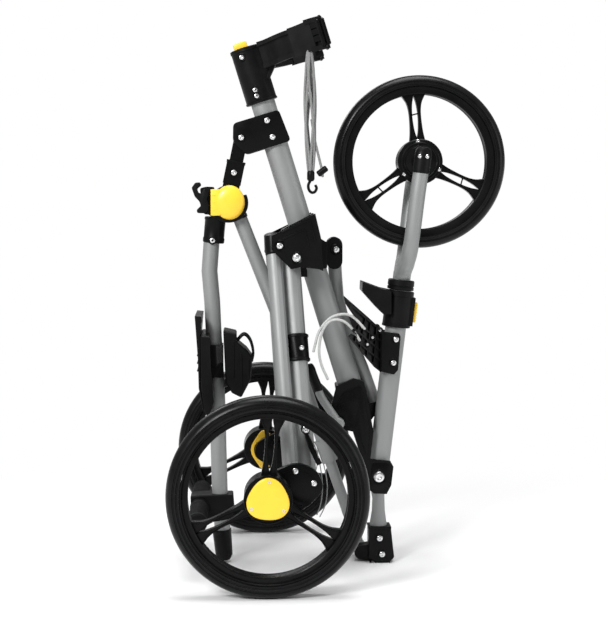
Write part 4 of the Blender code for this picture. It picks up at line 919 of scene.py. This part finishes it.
def make_strut():
    """The folding strut's grey tube with its black yoke round the handle's hinge."""
    tube, yoke = Piece(), Piece()
    top = off(HANDLE_PIVOT, 0.0178, -0.0228)
    foot = Vector((CROSSBAR.x, 0, CROSSBAR.z))
    along = (foot - top).normalized()
    tube.rod([top, foot - along * 0.006], 0.011, 28)
    tube.ring(Vector((foot.x, -0.0122, foot.z)), Y_AXIS, [
        (0.0092, 0.0), (0.0116, 0.0), (0.012, 0.0008), (0.012, 0.0236), (0.0116, 0.0244),
        (0.0092, 0.0244)], 40)
    tube.done("strut_tube", "strut", "tube", "handle_strut")
    radius, steps = 0.0302, 30
    for side in (1, -1):
        outline = []
        for k in range(steps + 1):
            angle = math.radians(-150 + 175 * k / steps)
            outline.append((HANDLE_PIVOT.x + 0.001 + radius * math.cos(angle),
                            HANDLE_PIVOT.z - 0.0006 + radius * math.sin(angle)))
        inner = [(HANDLE_PIVOT.x + 0.008 * math.cos(math.radians(a)),
                  HANDLE_PIVOT.z + 0.008 * math.sin(math.radians(a))) for a in (60, 120, 170, 215)]
        yoke.plate(outline + inner, side * 0.0187, side * 0.0224, 0.0008)
    shoulder = off(HANDLE_PIVOT, 0.0185, -0.024)
    across = Vector((along.z, 0, -along.x))
    barrel(yoke, shoulder, along, across, [
        (-0.008, 0.01, 0.018), (-0.006, 0.0118, 0.0214), (-0.002, 0.0122, 0.0214), (0.001, 0.012, 0.016),
        (0.0016, 0.0112, 0.012)], 28)
    yoke.done("strut_yoke", "strut", "black")


def make_knob():
    """A domed round knob with a square tongue, parted by a step."""
    low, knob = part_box("handle_knob")[0], Piece()
    face = low.y
    disc = Vector((HANDLE_PIVOT.x + 0.0028, 0, HANDLE_PIVOT.z))
    knob.loft([ellipse(disc + Y_AXIS * (face + depth), X_AXIS, Z_AXIS,
                       share * 0.023, share * 0.026, 72) for share, depth in
               ((0.04, -0.0024), (0.35, -0.002), (0.63, -0.0009), (0.85, 0.0008), (0.96, 0.003),
                (1.0, 0.0056), (1.0, 0.0096))])
    tongue_half = 0.02
    corners = [
        (low.x + 0.0002, HANDLE_PIVOT.z + tongue_half), (low.x + 0.014, HANDLE_PIVOT.z + tongue_half),
        (low.x + 0.0165, HANDLE_PIVOT.z + tongue_half - 0.003),
        (low.x + 0.0165, HANDLE_PIVOT.z - tongue_half + 0.003),
        (low.x + 0.014, HANDLE_PIVOT.z - tongue_half), (low.x + 0.0002, HANDLE_PIVOT.z - tongue_half)]
    knob.plate(corners, face + 0.001, face + 0.0094, 0.0016)
    for share in (-0.55, 0.0, 0.55):
        z = HANDLE_PIVOT.z + share * tongue_half
        knob.box(Vector((low.x + 0.0045, face + 0.001, z)), (0.005, 0.0012, 0.0016))
    knob.done("handle_clamp_knob", "handle", "yellow", "handle_knob")


def make_handle_details():
    rivets, shell = Piece(), Piece()
    socket = off(HANDLE_PIVOT, -0.0235, -0.0579)
    for side, axis in SIDES:
        rivets.rivet(Vector((socket.x, side * 0.0153, socket.z)), axis, 0.004, 0.0014)
        shell.ring(Vector((socket.x, side * 0.0138, socket.z)), axis, [
            (0.0044, 0.0), (0.0064, 0.0), (0.0062, 0.0012), (0.0052, 0.0018), (0.0044, 0.0014)], 28)
    top, foot = off(HANDLE_PIVOT, -0.0189, -0.0222), off(HANDLE_PIVOT, -0.0224, -0.0608)
    along = (foot - top).normalized()
    across = Vector((along.z, 0, -along.x))
    shell.loft([ellipse(lerp(top, foot, d), across, Y_AXIS, rx, rx - 0.0002, 32) for d, rx in (
        (0.0, 0.015), (0.03, 0.0166), (0.1, 0.0168), (0.14, 0.0159), (0.8, 0.0157), (0.86, 0.0166),
        (1.0, 0.0164), (1.03, 0.015))])
    keeper = [(-0.042, 0.0215), (-0.033, 0.024), (-0.02, 0.0235), (-0.02, -0.019),
              (-0.036, -0.018), (-0.039, -0.006)]
    shell.plate(rounded(traced(HANDLE_PIVOT, keeper), 0.003), -0.0246, -0.0229, 0.0006)
    grip_low, grip_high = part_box("handle_grips")
    axis_x, axis_z = (grip_low.x + grip_high.x) / 2, (grip_low.z + grip_high.z) / 2
    for side, axis in SIDES:
        shell.ring(Vector((axis_x, side * 0.019, axis_z)), axis, [
            (0.0098, -0.002), (0.0145, -0.002), (0.015, 0.0), (0.0146, 0.0016), (0.0128, 0.0022),
            (0.0112, 0.0014), (0.0098, 0.001)], 40)
    shell.done("handle_lips", "handle", "black")
    rivets.done("handle_rivets", "handle", "steel")

    grips = Piece()
    radius = (grip_high.z - grip_low.z) / 2
    for side, axis in SIDES:
        base = Vector((axis_x, side * 0.0205, axis_z))
        length = grip_high.y - 0.0205
        profile = [(0.0098, 0.0), (radius - 0.0015, 0.0), (radius, 0.0012)]
        ribs = 16
        for k in range(ribs):
            d = length * (0.12 + 0.76 * k / ribs)
            pitch = length * 0.76 / ribs
            profile += [(radius, d), (radius - 0.0009, d + 0.2 * pitch),
                        (radius - 0.0009, d + 0.45 * pitch), (radius, d + 0.65 * pitch)]
        profile += [(radius, length - 0.008), (radius + 0.0008, length - 0.006),
                    (radius + 0.0008, length - 0.002), (radius - 0.002, length), (0.004, length)]
        grips.revolve(base, axis, profile, 40)
    grips.revolve(Vector((axis_x, -0.03, axis_z)), Y_AXIS, [(0.0092, 0.0), (0.0092, 0.06)], 28)
    grips.done("foam_grips", "handle", "grip", "handle_grips")


make_arm_details()
make_strut()
make_knob()
make_handle_details()


# ---------------------------------------------------------------- legs, links, catch, brake cables
def line_point(top, top_off, end_off, side, share):
    """A point on a tube's centre line, from its pivot at the top to its end by the wheel."""
    ends = [off(joint, dx, dz, side * y) for joint, (dx, dz, y) in ((top, top_off), (LEG_FOOT, end_off))]
    return lerp(*ends, share)


def leg_line(side, share):
    return line_point(LEG_PIVOT, (-0.009, 0.012, 0.036), (-0.008, -0.005, 0.13), side, share)


def link_line(side, share):
    return line_point(LINK_PIVOT, (-0.01, 0.014, 0.0485), (-0.034, 0.021, 0.142), side, share)


def make_leg_details():
    sleeves, collars, rivets, screws, cables = Piece(), Piece(), Piece(), Piece(), Piece()
    for side, axis in SIDES:
        sleeves.rod([link_line(side, s) for s in (0.0, 0.004, 0.07, 0.076, 0.082, 0.086)],
                    [0.01, 0.012, 0.0126, 0.013, 0.013, 0.0121], 24)
        for share in (0.378, 0.48):
            collars.rod([leg_line(side, share + d) for d in (0, 0.003, 0.012, 0.015)],
                        [0.0168, 0.0183, 0.0183, 0.0168], 28)
        line = leg_line(side, 0.44)
        spot = Vector((line.x + 0.006, line.y + side * 0.0165, line.z + 0.004))
        rivets.rivet(spot, axis, 0.004, 0.0024)
        foot = leg_line(side, 0.785)
        rivets.rivet(Vector((LEG_FOOT.x - 0.0107, foot.y + side * 0.0272, LEG_FOOT.z + 0.0724)), axis,
                     0.0052, 0.0022)
        base = Vector((LEG_FOOT.x - 0.006, foot.y + side * 0.028, LEG_FOOT.z + 0.066))
        for reach, drop in ((0.026, -0.123), (0.019, -0.12)):
            path = [base, base + Vector((reach * 0.62, side * 0.004, drop * 0.22)),
                    base + Vector((reach, side * 0.006, drop * 0.55)),
                    base + Vector((reach * 0.95, side * 0.004, drop * 0.82)),
                    base + Vector((reach * 0.62, 0, drop))]
            cables.rod(smooth_path(path, 6), 0.0008, 8, round_ends=True)
        for dx, dz in ((0.0, 0.0), (-0.027, 0.018)):
            screws.rivet(off(LEG_FOOT, dx, dz, side * 0.1744), axis, 0.0046, 0.0014)
    sleeves.done("link_sleeves", "links", "black")
    collars.done("leg_collars", "legs", "black")
    rivets.done("leg_rivets", "legs", "steel")
    cables.done("brake_cables", "legs", "tube")
    screws.done("carrier_screws", "carriers", "steel")


def make_catch():
    arm, tip, y = Piece(), Piece(), centre("fold_catch").y
    path = [off(CATCH_PIVOT, 0, 0, y), off(CATCH_PIVOT, -0.0135, 0.02, y),
            off(CATCH_PIVOT, -0.0265, 0.0395, y), off(CATCH_PIVOT, -0.0322, 0.053, y)]
    arm.rod(smooth_path(path, 6), 0.0062, 20)
    arm.revolve(off(CATCH_PIVOT, 0, 0, y - 0.0066), Y_AXIS, [
        (0.0028, 0.0), (0.0075, 0.0), (0.0085, 0.001), (0.0085, 0.0122), (0.0075, 0.0134),
        (0.0028, 0.0134)], 32)
    arm.done("catch_arm", "fold_catch", "tube", "fold_catch")
    ends = [off(CATCH_PIVOT, -0.0318, 0.05, y), off(CATCH_PIVOT, -0.0329, 0.056, y),
            off(CATCH_PIVOT, -0.04, 0.074, y), off(CATCH_PIVOT, -0.0448, 0.089, y)]
    tip.rod(smooth_path(ends, 5), [0.0064] + [0.0075] * 5 + [0.0072] * 8 + [0.0066, 0.0058], 20,
            flat=0.92, round_ends=True)
    tip.done("catch_tip", "fold_catch", "black")


CARRIER_OUTLINE = [(-0.019, -0.006), (-0.012, 0.018), (0.018, 0.033), (0.044, 0.042),
                   (0.072, 0.03), (0.083, 0.004), (0.064, -0.019), (0.038, -0.035),
                   (0.002, -0.02)]  # from the wheel's axis


def make_carriers():
    for side, axis, name in NAMED_SIDES:
        low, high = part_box("axle_carrier_" + name)
        wheel_axis = joint_at("rear_wheel_" + name + "_spin")
        inner, outer = side * 0.1575, side * 0.1725
        end = high.y if side > 0 else low.y
        shell = Piece()
        outline = rounded(traced(wheel_axis, CARRIER_OUTLINE), 0.014)
        shell.plate(outline, inner, outer - side * 0.001, 0.0016)
        inset = rounded([(wheel_axis.x + 0.03 + (dx - 0.03) * 0.84, wheel_axis.z + dz * 0.8)
                         for dx, dz in CARRIER_OUTLINE], 0.012)
        shell.plate(inset, outer - side * 0.003, outer + side * 0.0002, 0.001)
        shell.revolve(Vector((wheel_axis.x, 0, wheel_axis.z)), axis, [
            (0.015, side * outer - 0.004), (0.015, side * outer + 0.001), (0.012, side * outer + 0.0026),
            (0.006, side * outer + 0.003), (0.006, side * end - 0.0006), (0.005, side * end)], 32)
        shell.revolve(off(LEG_FOOT, 0, 0, side * 0.1468), axis,
                      [(0.0105, 0.0), (0.0105, 0.012), (0.006, 0.012)], 32)
        shell.done("carrier_shell_" + name, "carriers", "coated", "axle_carrier_" + name)


CASTING_RIDGE = [(-0.056, 0.132), (-0.028, 0.143), (-0.024, 0.13), (-0.015, 0.076),
                 (-0.018, 0.032), (-0.023, 0.042), (-0.035, 0.076), (-0.052, 0.08),
                 (-0.072, 0.098)]  # from the front pivot, as the panel round the pivot
PIVOT_PANEL = [(-0.011, 0.022), (0.015, 0.021), (0.018, 0.012), (0.015, -0.012), (0.009, -0.022),
               (-0.007, -0.022), (-0.014, -0.015)]


def make_casting_relief():
    """Raised panels on the lower casting's cheeks; the ridge is on the near one only."""
    shell = Piece()
    for side in (1, -1):
        if side < 0:
            shell.plate(rounded(traced(FRONT_PIVOT, CASTING_RIDGE), 0.006), -0.0222, -0.024, 0.0007)
        shell.plate(rounded(traced(FRONT_PIVOT, PIVOT_PANEL), 0.006), side * 0.0222, side * 0.0236, 0.0006)
    shell.done("casting_panels", "frame", "coated")


HOOK_OUTLINE = [(-0.0235, 0.022), (-0.018, 0.03), (-0.0105, 0.0305), (-0.0085, 0.0255),
                (-0.015, 0.0205), (-0.013, 0.0145), (-0.0085, 0.0135), (-0.004, 0.0205),
                (0.001, 0.0175), (0.0022, 0.011), (-0.001, 0.006), (0.002, -0.003),
                (0.0018, -0.011), (-0.004, -0.0165), (-0.015, -0.016), (-0.016, -0.011),
                (-0.0095, -0.005), (-0.012, 0.002), (-0.0185, 0.0085)]  # from the hook's pivot


def make_latch_hook():
    low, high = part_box("latch_hook")
    pivot = joint_at("latch_hook_turn")
    hook = Piece()
    hook.plate(rounded(traced(pivot, HOOK_OUTLINE), 0.0022, 3), low.y, high.y, 0.0007)
    hook.done("latch_claw", "latch_hook", "black", "latch_hook")


make_leg_details()
make_catch()
make_carriers()
make_casting_relief()
make_latch_hook()


# ---------------------------------------------------------------- front tube: foot, bag base, collar
def make_front_details():
    rivets, foot = Piece(), Piece()
    for dx, dz in ((0.002, -0.0975), (0.0058, -0.1228)):
        rivets.rivet(off(FRONT_PIVOT, dx, dz, 0.0166), Y_AXIS, 0.0046, 0.0016)
        rivets.rivet(off(FRONT_PIVOT, dx, dz, -0.0183), NEAR, 0.0046, 0.0016)
        foot.ring(off(FRONT_PIVOT, dx, dz, -0.016), NEAR,
                  [(0.005, 0.0), (0.0068, 0.0), (0.0066, 0.0014), (0.0058, 0.002), (0.005, 0.0016)], 28)
    low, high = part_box("front_tube_foot")
    x0, x1, z0, z1 = FRONT_PIVOT.x - 0.0155, FRONT_PIVOT.x + 0.02, high.z - 0.003, high.z + 0.0006
    foot.plate([(x0, z0), (x1, z0), (x1, z1), (x0, z1)], -0.0174, 0.0174, 0.0006)
    for x in (0.4, 0.52, 0.64, 0.76, 0.88):
        foot.box(Vector((lerp(low.x, high.x, x), 0, 0.0016)), (0.0022, 0.0336, 0.003))
    foot.done("foot_lips", "front", "black")
    rivets.done("front_rivets", "front", "steel")


WING_SLANT = 1.6                 # sideways spread of a bag base wing for each unit along X
WING_ROOT_DX = 0.1405            # from the leg bar's axis to the wing's root


def make_bag_base():
    """Waffle ribs, pins and rivets on each side of the bag base, slanted as its wings spread."""
    root_x = CROSSBAR.x + WING_ROOT_DX
    base_x, base_z = CROSSBAR.x - 0.036, CROSSBAR.z - 0.344
    ribs = [((0.1765, 0.364), (0.124, 0.4095)), ((0.1765, 0.301), (0.165, 0.311)),
            ((0.165, 0.311), (0.1215, 0.3625)), ((0.1765, 0.332), (0.13, 0.374)),
            ((0.1765, 0.348), (0.14, 0.377)), ((0.1765, 0.317), (0.133, 0.356)),
            ((0.144, 0.377), (0.1235, 0.4075)), ((0.14, 0.341), (0.15, 0.387)),
            ((0.152, 0.327), (0.159, 0.38)), ((0.164, 0.313), (0.169, 0.371)),
            ((0.131, 0.352), (0.139, 0.379)), ((0.126, 0.372), (0.1385, 0.36)),
            ((0.1765, 0.301), (0.1765, 0.364))]
    for side, axis, name in NAMED_SIDES:
        low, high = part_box("bag_base_" + name)
        outer = (low.y if side > 0 else high.y) + side * 0.005
        web, rivets = Piece(), Piece()
        for (ax, az), (bx, bz) in ribs:
            dx, dz = bx - ax, bz - az
            length = math.hypot(dx, dz)
            nx, nz = -dz / length * 0.0011, dx / length * 0.0011
            corners = [(base_x + x, base_z + z) for x, z in
                       ((ax + nx, az + nz), (bx + nx, bz + nz), (bx - nx, bz - nz), (ax - nx, az - nz))]
            web.plate(corners, outer - side * 0.001, outer + side * 0.0044, 0.0, -side * WING_SLANT, root_x)
        for dx, dz in ((-0.002, 0.021), (-0.015, 0.012), (-0.024, 0.003), (-0.033, 0.031)):
            x = root_x + dx
            spot = Vector((x, outer + side * 0.0006 - side * WING_SLANT * dx, CROSSBAR.z + dz))
            web.ring(spot, axis, [
                (0.0024, 0.0), (0.0048, 0.0), (0.0048, 0.0046), (0.004, 0.0052), (0.0024, 0.0048)], 24)
            rivets.rivet(spot + axis * 0.003, axis, 0.0032, 0.0014)
        for dx, dz in ((0.0233, 0.006), (0.0196, -0.03)):
            spot = Vector((root_x + dx, outer + side * 0.0018, CROSSBAR.z + dz))
            rivets.rivet(spot, axis, 0.0042, 0.0014)
            web.ring(Vector((root_x + dx, outer - side * 0.0004, CROSSBAR.z + dz)), axis,
                     [(0.005, 0.0), (0.0072, 0.0), (0.007, 0.001), (0.0062, 0.0016), (0.005, 0.0012)], 28)
        web.done("bag_base_ribs_" + name, "front", "black")
        rivets.done("bag_base_rivets_" + name, "front", "steel")


def make_button(name, node, size, turn, soft, ribs, rib_length):
    """A yellow push button with thumb ribs, given from its middle."""
    button, middle = Piece(), centre(node)
    button.box(middle, size, turn, soft)
    for rib in ribs:
        button.box(middle + rib, (0.0014, rib_length, 0.0016), turn, 0.0004)
    button.done(name, node, "yellow", node)


def make_collar_details():
    shell = Piece()
    front_sleeve(shell, 0.2325, [(0, 0.02), (0.0007, 0.0219), (0.004, 0.0219), (0.0047, 0.0205)])
    front_sleeve(shell, 0.28, [(0, 0.0205), (0.0008, 0.0221), (0.008, 0.0221), (0.0088, 0.02)])
    shell.done("steer_collar_lips", "front", "black")
    make_button("steer_release", "steer_button", (0.008, 0.012, 0.031), FRONT_TURN, 0.0018,
                [FRONT_UP * d + FRONT_SIDE * 0.004 for d in (-0.008, -0.004, 0.0, 0.004, 0.008)], 0.01)
    make_button("top_release", "upper_button", (0.021, 0.0178, 0.013), BAR_TURN, 0.0024,
                [SPINE_SIDE * d - SPINE_DOWN * 0.0065 for d in (-0.006, -0.002, 0.002, 0.006)], 0.014)


make_front_details()
make_bag_base()
make_collar_details()


# ---------------------------------------------------------------- console
def make_console_details():
    lid, shell = Piece(), Piece()
    low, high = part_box("console_lid")
    for share in (0.42, 0.5, 0.58):
        lid.box(Vector((lerp(low.x, high.x, 0.28), 0, lerp(low.z, high.z, share))), (0.0024, 0.082, 0.0022))
    lid.done("lid_ribs", "lid", "black")
    low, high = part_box("console_holder")
    for side in (1, -1):
        for fx, fz0, fz1 in ((0.35, 0.3, 0.84), (0.62, 0.14, 0.66), (0.86, 0.28, 0.56)):
            x, z0, z1 = lerp(low.x, high.x, fx), lerp(low.z, high.z, fz0), lerp(low.z, high.z, fz1)
            shell.plate([(x - 0.0012, z0), (x + 0.0012, z0), (x + 0.0012, z1), (x - 0.0012, z1)],
                        side * 0.0295, side * 0.0318, 0.0004)
        ring = [(0.42, 0.8), (0.7, 0.92), (0.92, 0.84), (1.03, 0.66), (0.98, 0.52)]
        shell.rod(smooth_path([Vector((lerp(low.x, high.x, fx), side * 0.012, lerp(low.z, high.z, fz)))
                               for fx, fz in ring], 6), 0.002, 10, round_ends=True)
    shell.done("holder_straps", "handle", "black")


make_console_details()


# ---------------------------------------------------------------- camera, light and floor
CAMERA_POINT = Vector((-0.14193, -2.30014, 0.57182))
CAMERA_FORWARD = Vector((0.03848, 0.99619, -0.07826))
CAMERA_LENS = 86.24


def make_camera():
    camera = bpy.data.cameras.new("camera")
    camera.lens = CAMERA_LENS
    camera.sensor_width = 36.0
    obj = new_object("camera", camera)
    obj.location = CAMERA_POINT
    obj.rotation_euler = CAMERA_FORWARD.to_track_quat("-Z", "Y").to_euler()
    bpy.context.scene.camera = obj


def area_light(name, location, size, power):
    """A square light aimed at the middle of the trolley."""
    light = bpy.data.lights.new(name, "AREA")
    light.energy, light.size = power, size
    obj = new_object(name, light)
    obj.location = location
    obj.rotation_euler = (LIGHT_AIM - Vector(location)).to_track_quat("-Z", "Y").to_euler()


LIGHT_AIM = Vector((0, 0, 0.38))
LOWEST_PIECE = "front_tyre_rubber"  # the piece that the opened frame takes lowest
WORLD_LIGHT = 0.29
FLOOR_REACH = 30.0
FADE_FROM, FADE_TO = 0.35, 0.95  # distance from the origin over which the floor turns pure white


def make_world():
    """Even soft light; the camera sees plain white."""
    world = bpy.data.worlds.new("studio")
    bpy.context.scene.world = world
    world.use_nodes = True
    tree = world.node_tree
    background = tree.nodes["Background"]
    background.inputs["Color"].default_value = (1.0, 1.0, 1.0, 1.0)
    ray = add_node(tree, "ShaderNodeLightPath").outputs["Is Camera Ray"]
    level = add_node(tree, "ShaderNodeMapRange", {"To Min": WORLD_LIGHT, "To Max": 1.0, "Value": ray})
    tree.links.new(level.outputs["Result"], background.inputs["Strength"])


def sink_floor(floor):
    """Lets the floor drop under the front wheel when the opened frame reaches below its own plane."""
    group, geometry = geometry_group("sinking_floor")
    tyre = add_node(group, "GeometryNodeObjectInfo", {"Object": bpy.data.objects[LOWEST_PIECE]},
                    transform_space="RELATIVE")
    box = add_node(group, "GeometryNodeBoundBox", {"Geometry": tyre.outputs["Geometry"]})
    lowest = add_node(group, "ShaderNodeSeparateXYZ", {"Vector": box.outputs["Min"]}).outputs["Z"]
    depth = add_node(group, "ShaderNodeMath", {0: lowest, 1: 0.0}, operation="MINIMUM")
    offset = add_node(group, "ShaderNodeCombineXYZ", {"Z": depth.outputs["Value"]})
    place = add_node(group, "GeometryNodeSetPosition",
                     {"Geometry": geometry, "Offset": offset.outputs["Vector"]})
    add_node(group, "NodeGroupOutput", {0: place.outputs["Geometry"]})
    floor.modifiers.new("sink", "NODES").node_group = group


def make_floor():
    mesh = bpy.data.meshes.new("floor")
    reach = FLOOR_REACH
    mesh.from_pydata([(-reach, -reach, 0), (reach, -reach, 0), (reach, reach, 0), (-reach, reach, 0)], [],
                     [(0, 1, 2, 3)])
    floor = new_object("floor", mesh)
    shader = Shader("floor_paper", (0.9, 0.9, 0.905), 0.85, specular=0.1)
    shader.bump(shader.noise(8.0, 3.0), 0.02, 0.001)
    glow = shader.add("ShaderNodeEmission").outputs["Emission"]
    distance = shader.add("ShaderNodeVectorMath", {0: shader.coords}, operation="LENGTH").outputs["Value"]
    fade = shader.add("ShaderNodeMapRange", {
        "From Min": FADE_FROM, "From Max": FADE_TO, "Value": distance}, interpolation_type="SMOOTHSTEP")
    mix = shader.add("ShaderNodeMixShader",
                     {"Fac": fade.outputs["Result"], 1: shader.principled.outputs["BSDF"], 2: glow})
    output = shader.tree.nodes["Material Output"]
    shader.tree.links.new(mix.outputs["Shader"], output.inputs["Surface"])
    mesh.materials.append(shader.material)
    sink_floor(floor)


def make_lights():
    area_light("key", (-1.5, -2.2, 1.9), 0.9, 74.0)
    area_light("fill", (2.4, -1.2, 1.0), 1.4, 12.0)
    area_light("top", (0.1, -0.1, 2.9), 1.6, 62.0)
    area_light("back", (-0.8, 2.4, 1.8), 1.4, 14.0)
    bpy.context.scene.view_settings.view_transform = "Standard"


make_camera()
make_world()
make_floor()
make_lights()
